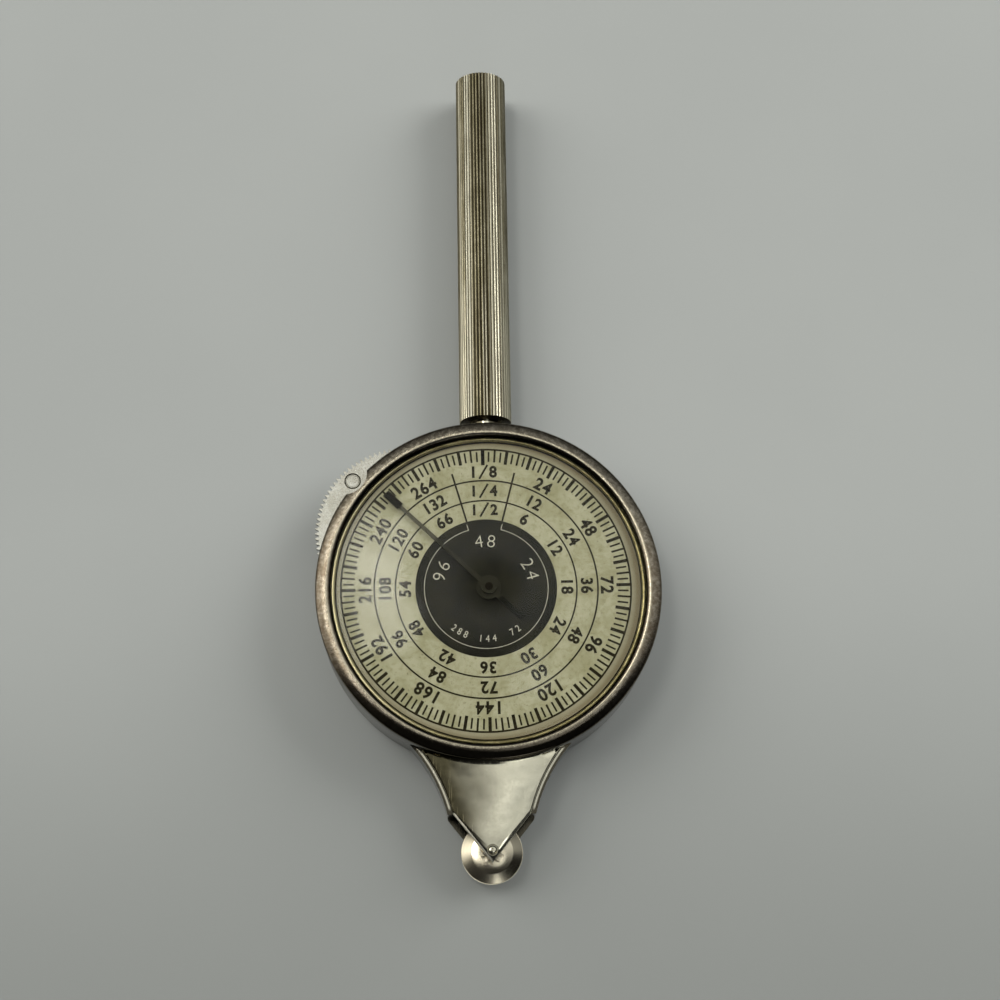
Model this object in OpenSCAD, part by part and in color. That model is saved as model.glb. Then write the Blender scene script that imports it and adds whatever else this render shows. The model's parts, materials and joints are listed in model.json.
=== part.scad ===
// Opisometer: a pocket instrument that measures a distance along a map.
// It lies on its back with the dial looking up +Z. The handle runs along +Y, and the tracing
// wheel is at the -Y end. The origin is on the dial's axis, on the face that the case rests on.
// The tracing wheel drives the pointer through three pairs of gears. A friction clutch lets the
// toothed reset wheel at the rim turn the pointer back to zero without turning the train.

/* [Case] */
// Outer diameter of the case
case_d = 34.4; // [32:0.1:38]
// Thickness of the back cover
back_t = 0.5; // [0.4:0.05:0.8]
// Rounding of the back cover's lower edge
back_round = 0.35; // [0.1:0.05:0.4]
// Height of the back cover's snap rim
snap_h = 0.6; // [0.3:0.05:1]
// Wall of the back cover's snap rim
snap_wall = 0.4; // [0.3:0.05:0.6]
// Wall of the bezel's skirt
skirt_wall = 0.4; // [0.3:0.05:0.6]
// Wall of the case's neck, which the bezel snaps over
neck_wall = 0.35; // [0.25:0.05:0.5]
// Width of the ledge that carries the movement
ledge_w = 0.7; // [0.5:0.05:1]
// Thickness of the ledge
ledge_t = 0.3; // [0.25:0.05:0.5]
// Clearance between parts that fit into each other
fit_gap = 0.05; // [0.02:0.01:0.08]

/* [Bezel and crystal] */
// Radius of the bezel's rounded top
bezel_round = 2.1; // [1.6:0.05:3]
// Distance of the bezel's ridge from the edge of the crystal
ridge_in = 0.25; // [0.15:0.05:0.4]
// Height of the bezel's ridge over the edge of the crystal
ridge_h = 0.35; // [0.3:0.05:0.8]
// Width of the bezel's lip over the crystal
lip_w = 0.25; // [0.2:0.05:0.35]
// Thickness of the bezel's lip at its inner edge
lip_t = 0.15; // [0.1:0.05:0.25]
// Depth of the flank from the case's outer wall to the crystal
flank_w = 1.35; // [1.3:0.05:1.6]
// Height of the spacer ring under the crystal
ring_h = 0.3; // [0.25:0.05:0.8]
// Wall of the spacer ring
ring_w = 0.7; // [0.5:0.05:0.9]
// Thickness of the crystal
crystal_t = 0.5; // [0.4:0.05:0.7]
// Height of the crystal's cylindrical edge
crystal_edge = 0.4; // [0.35:0.05:0.8]
// Rise of the crystal's dome over its edge
crystal_rise = 1.7; // [1.6:0.05:2.5]

/* [Thumb scoop] */
// Direction of the scoop in the rim, from +X
scoop_a = 140.5; // [130:0.5:150]
// Radius of the scoop
scoop_r = 2.2; // [1.5:0.1:3]
// Depth of the scoop in the rim
scoop_depth = 0.85; // [0.4:0.05:0.9]

/* [Dial] */
// Thickness of the dial plate
dial_plate_t = 0.4; // [0.3:0.05:0.6]
// Thickness of the printed card
card_t = 0.15; // [0.1:0.05:0.3]
// Radius of the dial's centre hole
dial_hole_r = 0.8; // [0.6:0.05:1]
// Radius of the dial feet
foot_r = 0.35; // [0.25:0.05:0.5]
// Distance of the dial feet from the edge of the movement plate
foot_inset = 2.8; // [2:0.1:3.5]

/* [Pointer] */
// Direction of the pointer, from +Y towards -X
pointer_a = 46.2; // [0:0.1:360]
// Distance of the pointer's tip from the spacer ring
tip_gap = 0.95; // [0.9:0.05:3]
// Length of the pointer's tail
tail_len = 4.5; // [3:0.1:6]
// Width of the blade at the hub
blade_w = 0.5; // [0.4:0.05:0.8]
// Width of the blade where it meets the marker
blade_tip_w = 0.32; // [0.25:0.01:0.5]
// Length of the broad marker at the tip
marker_len = 2; // [1.5:0.1:3]
// Width of the marker
marker_w = 0.75; // [0.6:0.05:1]
// Radius of the pointer's hub
hub_r = 1.22; // [1:0.02:1.5]
// Thickness of the pointer
pointer_t = 0.18; // [0.12:0.02:0.3]
// Clearance between the card and the pointer
pointer_gap = 0.2; // [0.15:0.05:0.25]
// Radius of the pointer's boss
boss_r = 0.72; // [0.65:0.01:0.9]
// Height of the boss over the pointer
boss_h = 0.35; // [0.2:0.05:0.5]

/* [Movement plates] */
// Thickness of the movement plates
plate_t = 0.4; // [0.35:0.05:0.6]
// Space between the back cover and the lower plate
back_gap = 0.4; // [0.3:0.05:0.8]
// Radius of the three pillars between the plates
pillar_r = 1.2; // [1:0.05:1.3]
// Distance of the pillars from the edge of the lower plate
pillar_inset = 2.3; // [2:0.05:2.5]
// Thread radius of the plate screws
screw_r = 0.4; // [0.3:0.05:0.5]
// Head radius of the plate screws
screw_head_r = 0.75; // [0.6:0.05:0.85]
// Head height of the plate screws
screw_head_t = 0.2; // [0.15:0.05:0.25]
// Length of the plate screws' thread in a pillar
screw_len = 1.2; // [0.8:0.1:1.6]
// Outer radius of the bearing bushes
bush_r = 0.7; // [0.65:0.05:0.9]
// Radial clearance in the bearings
run_gap = 0.02; // [0.01:0.01:0.05]

/* [Gear train] */
// Thickness of the wheels
wheel_t = 0.35; // [0.25:0.05:0.5]
// Clear height between wheels of neighbouring layers
layer_gap = 0.2; // [0.15:0.05:0.4]
// Clear height between the second wheel and the front cheek
cheek_gap = 0.3; // [0.25:0.05:0.6]
// Length that a pinion stands over its wheel at each end
pinion_over = 0.1; // [0.05:0.01:0.12]
// Radius of the turning arbors
arbor_r = 0.35; // [0.3:0.05:0.4]
// Radius of the arbors' pivots
pivot_r = 0.2; // [0.15:0.01:0.25]
// Teeth of the tracing pinion
tracing_teeth = 10; // [10:1:12]
// Teeth of the first wheel
first_wheel_teeth = 30; // [30:1:32]
// Teeth of the first pinion
first_pinion_teeth = 12; // [12:1:14]
// Teeth of the second wheel
second_wheel_teeth = 48; // [46:1:48]
// Teeth of the second pinion
second_pinion_teeth = 14; // [12:1:14]
// Teeth of the centre wheel
centre_teeth = 56; // [54:1:60]
// Module of the tracing pinion and the first wheel
first_module = 0.2; // [0.19:0.005:0.21]
// Module of the first pinion and the second wheel
second_module = 0.25; // [0.24:0.005:0.255]
// Distance of the second arbor from the edge of the upper plate
second_inset = 2.2; // [1.8:0.05:2.5]

/* [Pointer arbor] */
// Radius of the pointer arbor
pointer_arbor_r = 0.4; // [0.35:0.01:0.45]
// Radius of the collar that the centre wheel rubs on
collar_r = 1.2; // [1:0.05:1.5]
// Height of that collar
collar_h = 0.5; // [0.3:0.05:0.7]
// Room between the centre wheel and the reset wheel
clutch_room = 1.1; // [0.9:0.05:1.3]
// Radius of the clutch spring
spring_r = 3.2; // [2.5:0.1:4]
// Thickness of the clutch spring
spring_t = 0.15; // [0.1:0.05:0.2]

/* [Reset wheel] */
// Teeth of the reset wheel
reset_teeth = 108; // [96:6:120]
// Teeth of the reset pinion on the pointer arbor
reset_pinion_teeth = 18; // [18:1:20]
// Direction of the reset wheel's axis, from +X
reset_a = 143.5; // [138:0.5:146]
// Distance that the reset wheel stands out of the case
reset_proud = 2.25; // [1.5:0.05:2.6]
// Thickness of the reset wheel
reset_t = 0.4; // [0.3:0.05:0.5]
// Clearance above and below the reset wheel in its slot
slot_gap = 0.2; // [0.15:0.05:0.25]
// Radius of the reset wheel's post
post_r = 0.75; // [0.6:0.05:0.9]
// Radius of the post's shoulder
shoulder_r = 1.2; // [1:0.05:1.5]
// Outer radius of the washer and the clip on the post
clip_r = 1.5; // [1.3:0.05:2]
// Thickness of the washer and of the clip
clip_t = 0.15; // [0.1:0.05:0.2]
// Radius of the rivet in the reset wheel
rivet_r = 0.8; // [0.5:0.05:0.9]
// Distance of the rivet from the tips of the teeth
rivet_inset = 1.41; // [1.4:0.01:2]
// Direction of the rivet from the reset wheel's axis, from +X
rivet_a = 134; // [120:1:150]

/* [Nose] */
// Thickness of the two cheeks that carry the tracing wheel
cheek_t = 0.6; // [0.5:0.05:0.8]
// Width of the front cheek at its corners
nose_w = 7.54; // [7.3:0.02:8]
// Distance that the case's cheek stands out beyond the front cheek
rear_out = 0.5; // [0.4:0.05:0.6]
// Wall of the nose
nose_wall = 0.5; // [0.4:0.05:0.5]
// Radius of the nose's hollow flanks
flare_r = 17; // [15:0.5:19]
// Slant of the flanks at the corners
flare_a = 14; // [12:0.5:16]
// Distance from the axle to the tip of the front cheek
tip_len = 1.17; // [1.1:0.01:1.6]
// Gap between the tracing wheel's rim and the closed part of the nose
rim_gap = 0.47; // [0.3:0.01:0.6]
// Half width of the front cheek's tongue inside the case
tongue_w = 5; // [4.8:0.1:5.4]
// Thread radius of the screws that hold the tongue
tongue_screw_r = 0.3; // [0.25:0.05:0.35]
// Distance of these screws from the middle
tongue_screw_x = 4; // [3.6:0.1:4.1]

/* [Tracing wheel] */
// Diameter of the tracing wheel
tracing_d = 6.064; // [5.8:0.002:6.2]
// Thickness of the tracing wheel's middle
tracing_t = 1.6; // [1.2:0.05:1.8]
// Diameter of the tracing wheel's flat face
flat_d = 4.1; // [3.6:0.05:4.6]
// Width of the milled rim
rim_t = 0.3; // [0.2:0.05:0.5]
// Depth of the milling on the rim
rim_depth = 0.07; // [0.04:0.01:0.1]
// Number of notches in the rim
rim_notches = 90; // [60:2:120]
// Clearance between the tracing wheel and the rear cheek
wheel_gap = 0.4; // [0.3:0.05:0.6]
// Radius of the axle
axle_r = 0.3; // [0.25:0.01:0.34]
// Radius of the axle's riveted head
axle_head_r = 0.52; // [0.4:0.02:0.6]
// Height of the axle's head
axle_head_h = 0.15; // [0.1:0.01:0.25]
// Radius of the tracing wheel's hub
wheel_hub_r = 0.62; // [0.58:0.01:0.66]
// Thickness of the washers beside the hub
washer_t = 0.1; // [0.05:0.01:0.12]
// End play of the turning parts
end_play = 0.03; // [0.01:0.01:0.05]

/* [Handle] */
// Diameter of the handle
handle_d = 5.4; // [4.8:0.1:6]
// Length of the fluted handle
handle_len = 39.7; // [30:0.1:60]
// Number of flutes
flutes = 46; // [30:1:60]
// Depth of the flutes
flute_depth = 0.13; // [0.08:0.01:0.2]
// Chamfer at the ends of the handle
handle_chamfer = 0.15; // [0.1:0.05:0.5]
// Diameter of the handle's neck
neck_d = 3.5; // [3:0.1:4]
// Length of the neck between the case and the handle
neck_len = 1; // [0.6:0.1:3]
// Radius of the threaded stud
stud_r = 0.9; // [0.7:0.05:1]
// Length of the stud inside the handle
stud_len = 6; // [4:0.5:12]
// Width of the stud's nut across its flats
nut_af = 3.2; // [2.8:0.05:3.4]
// Thickness of the stud's nut
nut_t = 1.4; // [1:0.05:1.6]
// Thickness of the washer under the nut
nut_washer_t = 0.25; // [0.2:0.05:0.3]
// Depth of the flat seats on the case for the neck and the washer
seat_depth = 0.15; // [0.1:0.01:0.2]

/* [Hidden] */
$fn = 96;
eps = 0.01;

// Radii of the case, from the outside in
case_r = case_d / 2;
skirt_in = case_r - skirt_wall;
neck_r = skirt_in - fit_gap;
band_in = neck_r - neck_wall;
ledge_in = band_in - ledge_w;
upper_r = band_in - 2 * fit_gap;
snap_r = band_in - fit_gap;
lower_r = snap_r - snap_wall - fit_gap;
glass_r = case_r - flank_w - fit_gap;
glass_hole_r = case_r - flank_w;

// Heights, from the back cover up: the nose's layers set the height of the case
lower_z = back_t + back_gap;
lower_top = lower_z + plate_t;
rear_top = back_t + cheek_t;
tracing_z = rear_top + wheel_gap;
first_z = tracing_z + tracing_t + layer_gap;
second_z = first_z + wheel_t + layer_gap;
front_z = second_z + wheel_t + cheek_gap;
upper_z = front_z + cheek_t;
upper_top = upper_z + plate_t;
dial_top = upper_top + dial_plate_t;
card_top = dial_top + card_t;
glass_z = card_top + ring_h;
glass_edge_z = glass_z + crystal_edge;
ridge_z = glass_edge_z + ridge_h;
dome_r = (pow(glass_r, 2) + pow(crystal_rise, 2)) / (2 * crystal_rise);
dome_z = glass_edge_z + crystal_rise - dome_r;
lip_in = glass_hole_r - lip_w;
lip_z = dome_z + sqrt(pow(dome_r, 2) - pow(lip_in, 2));
reset_z = upper_z - ledge_t - slot_gap - reset_t;
reset_top = reset_z + reset_t;
centre_z = reset_z - clutch_room - wheel_t;
pointer_z = card_top + pointer_gap;
pointer_len = glass_r - ring_w - tip_gap;
boss_top = pointer_z + pointer_t + boss_h;
handle_z = (lower_top + upper_z) / 2;

// Gears: height of a tooth over and under the pitch circle, and its widths, in modules
addendum = 0.95;
dedendum = 1.2;
wheel_tooth = [1.9, 1.4, 0.7];
pinion_tooth = [1.35, 1.2, 0.6];
reset_tooth = [2.15, 1.25, 0.3];
reset_root = 1.3;

// Distances between the arbors
tracing_cd = first_module * (tracing_teeth + first_wheel_teeth) / 2;
first_cd = second_module * (first_pinion_teeth + second_wheel_teeth) / 2;
centre_cd = upper_r - second_inset;
centre_module = 2 * centre_cd / (second_pinion_teeth + centre_teeth);
second_y = -centre_cd;
first_y = second_y - first_cd;
axle_y = first_y - tracing_cd;
reset_module = (case_r + reset_proud) / (reset_teeth + reset_pinion_teeth / 2 + addendum);
reset_cd = reset_module * (reset_teeth + reset_pinion_teeth) / 2;
reset_tip_r = reset_module * (reset_teeth / 2 + addendum);
slot_r = reset_tip_r + slot_gap;

// Nose
tracing_r = tracing_d / 2;
corner_y = axle_y + tracing_r + rim_gap;
tip_y = axle_y - tip_len;
tip_a = atan(nose_w / 2 / (corner_y - tip_y));
flare_x = nose_w / 2 + flare_r * cos(flare_a);
flare_y = corner_y - flare_r * sin(flare_a);
root_y = flare_y + 0.8 * flare_r;
window_w = second_module * (second_wheel_teeth / 2 + addendum) + slot_gap;
tongue_screw_y = -sqrt(pow(upper_r - screw_head_r - fit_gap, 2) - pow(tongue_screw_x, 2));

// Places round the plates
pillar_a = [55, 205, 325];
foot_a = [8, 188];
pillar_place_r = lower_r - pillar_inset;
foot_place_r = upper_r - foot_inset;

// Handle
neck_seat_y = case_r - seat_depth;
nut_seat_y = band_in + seat_depth / 2;
nut_r = nut_af / 2 / cos(30);
handle_y = case_r + neck_len;
handle_end_y = handle_y + handle_len;

// Puts children at a radius and a direction from the dial's axis
module at_polar(r, a) {
    translate([r * cos(a), r * sin(a), 0]) children();
}

// Cylinder along +Y from y0 to y1 on the handle's axis
module along_y(r, y0, y1, sides = 96) {
    translate([0, y0, handle_z]) rotate([-90, 0, 0]) cylinder(r = r, h = y1 - y0, $fn = sides);
}

// Flat ring
module ring(r_out, r_in, z0, z1) {
    translate([0, 0, z0]) difference() {
        cylinder(r = r_out, h = z1 - z0);
        translate([0, 0, -eps]) cylinder(r = r_in, h = z1 - z0 + 2 * eps);
    }
}

// Outline of a gear. widths holds a tooth's width at its root, at the pitch circle and at its tip
function gear_points(teeth, m, widths, root) = [
    for (k = [0 : teeth - 1], p = [[-1, 0], [-1, 1], [-1, 2], [1, 2], [1, 1], [1, 0]])
        let (r = m * (teeth / 2 + [-root, 0, addendum][p[1]]),
             a = 360 * k / teeth + p[0] * asin(widths[p[1]] * m / 2 / r))
        [r * cos(a), r * sin(a)]
];

// Gear with a tooth, or with a gap, that looks in the direction aim
module gear(teeth, m, widths, z0, t, aim, gap = false, root = dedendum) {
    translate([0, 0, z0]) rotate([0, 0, aim + (gap ? 180 / teeth : 0)])
        linear_extrude(height = t) polygon(gear_points(teeth, m, widths, root));
}

// Crossed-out wheel: rim, arms and hub, with a bore
module crossed_gear(teeth, m, z0, aim, bore, hub) {
    rim_in = m * (teeth / 2 - dedendum) - 2.4 * m;
    difference() {
        gear(teeth, m, wheel_tooth, z0, wheel_t, aim);
        difference() {
            translate([0, 0, z0 - eps]) cylinder(r = rim_in, h = wheel_t + 2 * eps);
            translate([0, 0, z0 - 2 * eps]) cylinder(r = hub, h = wheel_t + 4 * eps);
            for (a = [0, 90]) rotate([0, 0, a + 45]) translate([-rim_in, -hub / 2, z0 - 2 * eps])
                cube([2 * rim_in, hub, wheel_t + 4 * eps]);
        }
        translate([0, 0, z0 - 3 * eps]) cylinder(r = bore, h = wheel_t + 6 * eps);
    }
}

// Arbor between two plates: a round bar with a thinner pivot at each end
module arbor(z0, z1, pivot_len) {
    translate([0, 0, z0 + end_play]) cylinder(r = arbor_r, h = z1 - z0 - 2 * end_play);
    translate([0, 0, z0 - pivot_len]) cylinder(r = pivot_r, h = z1 - z0 + 2 * pivot_len);
}

// Bearing bush for a pivot
module bush(z0, t, hole) {
    ring(bush_r, hole + run_gap, z0, z0 + t);
}

// Flat outline of the nose, stepped out by out beyond the front cheek
module nose_flat(out) {
    wedge_y = tip_y - out / sin(tip_a);
    wedge_w = (root_y - wedge_y) * tan(tip_a);
    difference() {
        polygon([[0, wedge_y], [wedge_w, root_y], [-wedge_w, root_y]]);
        flare_circles(out);
    }
}

// Circles that hollow the flanks of the nose
module flare_circles(out) {
    for (side = [-1, 1])
        translate([side * flare_x, flare_y]) circle(r = flare_r - out, $fn = 180);
}

// Space inside the nose, between its walls, from the fork to the case's inside
module nose_inside(out) {
    difference() {
        translate([-flare_x, tip_y]) square([2 * flare_x, root_y - tip_y]);
        flare_circles(out);
    }
}

// Screw with its head at z = 0 and its thread down to z = -length
module flush_screw(thread_r, head_r, head_t, length) {
    translate([0, 0, -length]) cylinder(r = thread_r, h = length);
    translate([0, 0, -head_t]) cylinder(r = head_r, h = head_t);
}

module back_cover() color("#8d8672") {
    rotate_extrude() difference() {
        square([case_r, back_t]);
        translate([case_r - back_round, 0]) difference() {
            square(back_round);
            translate([0, back_round]) circle(r = back_round, $fn = 48);
        }
    }
    ring(snap_r, snap_r - snap_wall, back_t, back_t + snap_h);
}

// Cuts the slot of the reset wheel and the thumb scoop over it
module scoop() {
    at_polar(case_r - scoop_depth + scoop_r, scoop_a)
        translate([0, 0, reset_top]) cylinder(r = scoop_r, h = ridge_z);
}

module case_band() color("#a89f88") {
    difference() {
        union() {
            ring(case_r, band_in, back_t, upper_z);
            ring(neck_r, band_in, upper_z, dial_top);
            ring(band_in + eps, ledge_in, upper_z - ledge_t, upper_z);
            // Walls of the nose, up to the corners where the fork opens
            difference() {
                translate([0, 0, back_t]) linear_extrude(height = front_z - back_t)
                    nose_flat(rear_out);
                translate([0, 0, rear_top]) linear_extrude(height = front_z) {
                    nose_inside(rear_out - nose_wall);
                    translate([-case_r, corner_y - case_r]) square([2 * case_r, case_r]);
                }
                translate([0, 0, back_t - eps]) cylinder(r = band_in + eps, h = front_z);
            }
        }
        // Window between the nose and the inside of the case, within the walls of the nose
        intersection() {
            translate([-window_w, -case_r, rear_top])
                cube([2 * window_w, case_r - centre_cd + slot_gap + 1, upper_z - rear_top - cheek_t]);
            linear_extrude(height = upper_z) nose_inside(rear_out - nose_wall - fit_gap);
        }
        translate([-tongue_w - fit_gap, -case_r - 1, front_z - eps])
            cube([2 * (tongue_w + fit_gap), case_r + 1 - centre_cd, cheek_t + eps]);
        // Slot of the reset wheel
        at_polar(reset_cd, reset_a) translate([0, 0, reset_z - slot_gap])
            cylinder(r = slot_r, h = reset_t + 2 * slot_gap);
        scoop();
        // Hole and flat seats of the handle's stud
        along_y(stud_r + fit_gap, 0, case_r + 1);
        along_y(neck_d / 2 + fit_gap, neck_seat_y, case_r + 1);
        along_y(nut_r + fit_gap, 0, nut_seat_y);
        // Hole of the axle and seat of the first arbor's bush
        translate([0, axle_y, 0]) cylinder(r = axle_r, h = upper_z);
        translate([0, first_y, rear_top - plate_t]) cylinder(r = bush_r, h = plate_t + eps);
    }
}

module nose_cheek() color("#d9d2b4") {
    difference() {
        translate([0, 0, front_z]) linear_extrude(height = cheek_t) union() {
            difference() {
                nose_flat(0);
                circle(r = case_r + fit_gap);
            }
            translate([-tongue_w, -case_r - 1]) square([2 * tongue_w, case_r + 1 - centre_cd]);
        }
        translate([0, axle_y, front_z - eps]) cylinder(r = axle_r, h = cheek_t + 2 * eps);
        translate([0, first_y, front_z - eps]) cylinder(r = bush_r, h = plate_t + eps);
        translate([0, second_y, front_z - eps])
            cylinder(r = bush_r + slot_gap, h = cheek_t + 2 * eps);
        for (x = [-1, 1]) translate([x * tongue_screw_x, tongue_screw_y, front_z - eps])
            cylinder(r = tongue_screw_r, h = cheek_t + 2 * eps);
    }
}

module cheek_screws() color("#6f7278") {
    for (x = [-1, 1]) translate([x * tongue_screw_x, tongue_screw_y, upper_top])
        flush_screw(tongue_screw_r, screw_head_r, screw_head_t, plate_t + cheek_t);
}

module bezel() color("#a3937f") {
    ridge_r = glass_hole_r + ridge_in;
    difference() {
        rotate_extrude() intersection() {
            polygon([[skirt_in, upper_z], [case_r, upper_z], [case_r, ridge_z],
                     [glass_hole_r + lip_t, ridge_z], [lip_in, lip_z + lip_t],
                     [lip_in, lip_z], [glass_hole_r, lip_z],
                     [glass_hole_r, dial_top], [skirt_in, dial_top]]);
            union() {
                square([ridge_r, ridge_z]);
                translate([ridge_r, ridge_z - bezel_round]) circle(r = bezel_round, $fn = 128);
            }
        }
        scoop();
    }
}

module crystal() color("#dfe8e6", 0.3) {
    rotate_extrude() intersection() {
        translate([0, glass_z]) square([glass_r, crystal_edge + crystal_rise]);
        difference() {
            translate([0, dome_z]) circle(r = dome_r, $fn = 720);
            translate([0, dome_z]) circle(r = dome_r - crystal_t, $fn = 720);
        }
    }
}

module spacer_ring() color("#b39a55") {
    ring(glass_r, glass_r - ring_w, card_top, glass_z);
}

module dial_plate() color("#b5a067") {
    ring(upper_r, dial_hole_r, upper_top, dial_top);
}

module dial_card() color("#c3c09a") {
    ring(glass_r, dial_hole_r, dial_top, card_top);
}

module dial_feet() color("#b5743c") {
    for (a = foot_a) at_polar(foot_place_r, a)
        translate([0, 0, upper_z]) cylinder(r = foot_r, h = plate_t);
}

module upper_plate() color("#c2a75a") {
    difference() {
        translate([0, 0, upper_z]) cylinder(r = upper_r, h = plate_t);
        translate([0, 0, upper_z - eps]) {
            cylinder(r = bush_r, h = plate_t + 2 * eps);
            translate([0, second_y, 0]) cylinder(r = bush_r, h = plate_t + 2 * eps);
            at_polar(reset_cd, reset_a) cylinder(r = post_r, h = plate_t + 2 * eps);
            for (a = foot_a) at_polar(foot_place_r, a) cylinder(r = foot_r, h = plate_t + 2 * eps);
            for (a = pillar_a) at_polar(pillar_place_r, a)
                cylinder(r = screw_r, h = plate_t + 2 * eps);
            for (x = [-1, 1]) translate([x * tongue_screw_x, tongue_screw_y, 0])
                cylinder(r = tongue_screw_r, h = plate_t + 2 * eps);
        }
        translate([0, 0, upper_top - screw_head_t]) {
            for (a = pillar_a) at_polar(pillar_place_r, a) cylinder(r = screw_head_r, h = plate_t);
            for (x = [-1, 1]) translate([x * tongue_screw_x, tongue_screw_y, 0])
                cylinder(r = screw_head_r, h = plate_t);
        }
    }
}

module lower_plate() color("#c2a75a") {
    difference() {
        translate([0, 0, lower_z]) cylinder(r = lower_r, h = plate_t);
        translate([0, 0, lower_z - eps]) {
            cylinder(r = bush_r, h = plate_t + 2 * eps);
            translate([0, second_y, 0]) cylinder(r = bush_r, h = plate_t + 2 * eps);
            for (a = pillar_a) at_polar(pillar_place_r, a) {
                cylinder(r = screw_r, h = plate_t + 2 * eps);
                cylinder(r = screw_head_r, h = screw_head_t + eps);
            }
        }
    }
}

module pillars() color("#cbb26a") {
    for (a = pillar_a) at_polar(pillar_place_r, a) difference() {
        translate([0, 0, lower_top]) cylinder(r = pillar_r, h = upper_z - lower_top);
        translate([0, 0, lower_top - eps]) cylinder(r = screw_r, h = screw_len + eps);
        translate([0, 0, upper_z - screw_len]) cylinder(r = screw_r, h = screw_len + eps);
    }
}

module upper_screws() color("#6f7278") {
    for (a = pillar_a) at_polar(pillar_place_r, a) translate([0, 0, upper_top])
        flush_screw(screw_r, screw_head_r, screw_head_t, plate_t + screw_len);
}

module lower_screws() color("#6f7278") {
    for (a = pillar_a) at_polar(pillar_place_r, a) translate([0, 0, lower_z]) rotate([180, 0, 0])
        flush_screw(screw_r, screw_head_r, screw_head_t, plate_t + screw_len);
}

module upper_bushes() color("#9c7a3c") {
    bush(upper_z, plate_t, pointer_arbor_r);
    translate([0, second_y, 0]) bush(upper_z, plate_t, pivot_r);
}

module lower_bushes() color("#9c7a3c") {
    bush(lower_z, plate_t, pivot_r);
    translate([0, second_y, 0]) bush(lower_z, plate_t, pivot_r);
}

module nose_bushes() color("#9c7a3c") {
    translate([0, first_y, 0]) {
        bush(rear_top - plate_t, plate_t, pivot_r);
        bush(front_z, plate_t, pivot_r);
    }
}

// Star outline with one sharp groove for each flute
function flute_points(r) = [
    for (k = [0 : 2 * flutes - 1])
        let (a = 180 * k / flutes, s = k % 2 == 0 ? r : r - flute_depth)
        [s * cos(a), s * sin(a)]
];

module handle() color("#8c846c") {
    core_r = handle_d / 2 - flute_depth - fit_gap;
    translate([0, handle_y, handle_z]) rotate([-90, 0, 0]) difference() {
        union() {
            translate([0, 0, handle_chamfer])
                linear_extrude(height = handle_len - 2 * handle_chamfer)
                    polygon(flute_points(handle_d / 2));
            rotate_extrude() polygon([[0, 0], [core_r - handle_chamfer, 0], [core_r, handle_chamfer],
                                      [core_r, handle_len - handle_chamfer],
                                      [core_r - handle_chamfer, handle_len], [0, handle_len]]);
        }
        translate([0, 0, -eps]) cylinder(r = stud_r, h = stud_len + eps);
    }
}

module handle_stud() color("#b6ad94") {
    along_y(stud_r, nut_seat_y - nut_washer_t - nut_t, handle_y + stud_len);
    along_y(neck_d / 2, neck_seat_y, handle_y);
}

module handle_washer() color("#8f8f8c") {
    difference() {
        along_y(nut_r, nut_seat_y - nut_washer_t, nut_seat_y);
        along_y(stud_r, 0, case_r);
    }
}

module handle_nut() color("#a89f88") {
    nut_y = nut_seat_y - nut_washer_t - nut_t;
    difference() {
        translate([0, nut_y, handle_z]) rotate([-90, 0, 0]) rotate([0, 0, 30])
            cylinder(r = nut_r, h = nut_t, $fn = 6);
        along_y(stud_r, 0, case_r);
    }
}

module axle_pin() color("#d8d3bd") {
    translate([0, axle_y, back_t - axle_head_h]) {
        cylinder(r = axle_r, h = upper_z - back_t + 2 * axle_head_h);
        cylinder(r = axle_head_r, h = axle_head_h);
        translate([0, 0, upper_z - back_t + axle_head_h]) cylinder(r = axle_head_r, h = axle_head_h);
    }
}

module axle_washers() color("#b39a55") {
    translate([0, axle_y, 0]) {
        ring(wheel_hub_r, axle_r, rear_top, rear_top + washer_t);
        ring(wheel_hub_r, axle_r, front_z - washer_t, front_z);
    }
}

module tracing_wheel() color("#d8d3bd") {
    notch_r = tracing_r - rim_depth;
    bevel_r = notch_r - rim_depth;
    mid_z = tracing_z + tracing_t / 2;
    translate([0, axle_y, 0]) difference() {
        union() {
            rotate_extrude() polygon([[0, tracing_z], [flat_d / 2, tracing_z],
                                      [bevel_r, mid_z - rim_t / 2], [bevel_r, mid_z + rim_t / 2],
                                      [flat_d / 2, tracing_z + tracing_t],
                                      [0, tracing_z + tracing_t]]);
            translate([0, 0, mid_z - rim_t / 2]) linear_extrude(height = rim_t)
                polygon([for (k = [0 : 2 * rim_notches - 1])
                    let (a = 180 * k / rim_notches, r = k % 2 == 0 ? tracing_r : notch_r)
                    [r * cos(a), r * sin(a)]]);
        }
        translate([0, 0, tracing_z - eps]) cylinder(r = wheel_hub_r, h = tracing_t + 2 * eps);
    }
}

module tracing_pinion() color("#c9b26c") {
    hub_z = rear_top + washer_t + end_play;
    hub_len = front_z - rear_top - 2 * (washer_t + end_play);
    translate([0, axle_y, 0]) difference() {
        union() {
            translate([0, 0, hub_z]) cylinder(r = wheel_hub_r, h = hub_len);
            gear(tracing_teeth, first_module, pinion_tooth, first_z - pinion_over,
                 wheel_t + 2 * pinion_over, 90);
        }
        translate([0, 0, hub_z - eps]) cylinder(r = axle_r + run_gap, h = hub_len + 2 * eps);
    }
}

module first_arbor() color("#8b8f95") {
    translate([0, first_y, 0]) arbor(rear_top, front_z, plate_t - end_play);
}

module first_wheel() color("#d0b45e") {
    translate([0, first_y, 0]) difference() {
        gear(first_wheel_teeth, first_module, wheel_tooth, first_z, wheel_t, 270, true);
        translate([0, 0, first_z - eps]) cylinder(r = arbor_r, h = wheel_t + 2 * eps);
    }
}

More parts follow.
